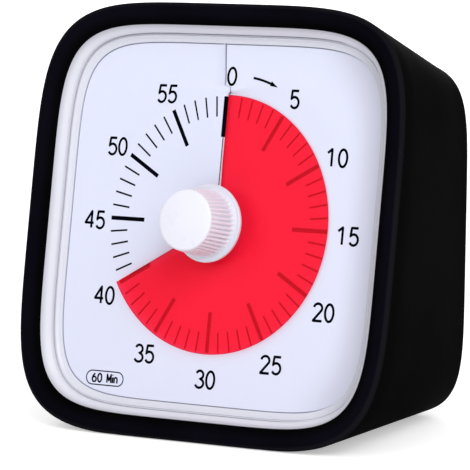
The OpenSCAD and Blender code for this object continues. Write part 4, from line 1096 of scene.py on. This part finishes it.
wire = Finish("enamelled_wire", (0.62, 0.22, 0.08), 0.3, metallic=1.0)
wire_x = wire.axes()[0]
turn_pitch_m = 0.00022
turn_lines = (wire_x * (2 * math.pi / turn_pitch_m)).sine()
wire.set({"Base Color": wire.mix(turn_lines.between(-0.6, 0.8), (0.3, 0.09, 0.03), (0.72, 0.3, 0.12)),
          "Roughness": 0.24 + 0.1 * wire.noise(1200, 2)})
wire.bump(turn_lines, 0.03, 0.8)
dress(wire, "coil_winding")

mask_green = Finish("solder_mask", (0.015, 0.12, 0.05), 0.25, coat_weight=0.3)
board_x, board_y = mask_green.axes(mask_green.turned(dial))[:2]
weave = (board_y * 2.3 + (board_x * 0.9).sine() * 1.4).sine()
run = ((board_x * 1.7).sine() + weave).size().under(0.16)
pads = mask_green.cells(420).under(0.16)
tracks = mask_green.mix(run, (0.012, 0.1, 0.045), (0.03, 0.2, 0.09))
mask_green.set({"Base Color": mask_green.mix(pads * 0.9, tracks, (0.62, 0.6, 0.55)),
                "Roughness": 0.22 + 0.12 * mask_green.noise(700, 2)})
mask_green.bump(run, 0.03, 0.5)
dress(mask_green, "circuit_board")

epoxy = Finish("black_epoxy", (0.008, 0.008, 0.009), 0.18)
epoxy.set({"Roughness": 0.14 + 0.1 * epoxy.noise(500, 2)})
epoxy.bump(epoxy.noise(350, 2), 0.05, 0.4)
dress(epoxy, "timer_chip")
print("motor and board dressed")

# %% [markdown]
# ## The cell, its neighbours and the wires
#
# The cell has a plain wrap: dark grey with a copper-coloured band at its
# positive end and a bare steel button. Its colours are a formula of how far
# along it a point lies, so no seam has to line up with a face.

# %% Cell, switch, buzzer and wires
wrap_foil = Finish("cell_wrap", (0.03, 0.032, 0.036), 0.25, coat_weight=0.2)
cell_x = wrap_foil.axes()[0]
band = cell_x.over(0.0135)
button = cell_x.over(0.0268)
ends = cell_x.under(-0.0217)
foil = wrap_foil.mix(band, (0.03, 0.032, 0.037), (0.6, 0.27, 0.11))
bare = button + ends
wrap_foil.set({"Base Color": wrap_foil.mix(bare, foil, (0.62, 0.62, 0.64)),
               "Metallic": (band + ends).between(0, 0.9) * 0.85,
               "Roughness": 0.22 + 0.1 * wrap_foil.noise(400, 3)})
wrap_foil.bump(wrap_foil.noise(900, 2), 0.006, 0.3)
dress(wrap_foil, "battery")

black_plastic = Finish("black_plastic", (0.012, 0.012, 0.013), 0.45)
fine = black_plastic.noise(2800, 2)
sooty = black_plastic.mix(black_plastic.noise(200, 2), (0.01, 0.01, 0.011), (0.018, 0.018, 0.019))
black_plastic.set({"Roughness": 0.38 + 0.18 * fine, "Base Color": sooty})
black_plastic.bump(fine, 0.008, 0.5)
dress(black_plastic, "switch_slider", "buzzer")


def pvc(name, color):
    """The finish of a lead's insulation."""
    sheath = Finish(name, color, 0.35)
    sheath.set({"Roughness": 0.3 + 0.14 * sheath.noise(900, 2),
                "Base Color": sheath.mix(sheath.noise(350, 2), tuple(0.85 * c for c in color), color)})
    sheath.bump(sheath.noise(2200, 2), 0.006, 0.4)
    return sheath


dress(pvc("red_pvc", (0.6, 0.02, 0.02)), "red_lead")
dress(pvc("black_pvc", (0.015, 0.015, 0.017)), "black_lead")
dress(pvc("yellow_pvc", (0.75, 0.5, 0.04)), "buzzer_leads")
dress(pvc("white_pvc", (0.75, 0.75, 0.75)), "switch_leads")
print("cell, switch, buzzer and wires dressed")

# %% View settings
bpy.context.scene.view_settings.view_transform = "Standard"
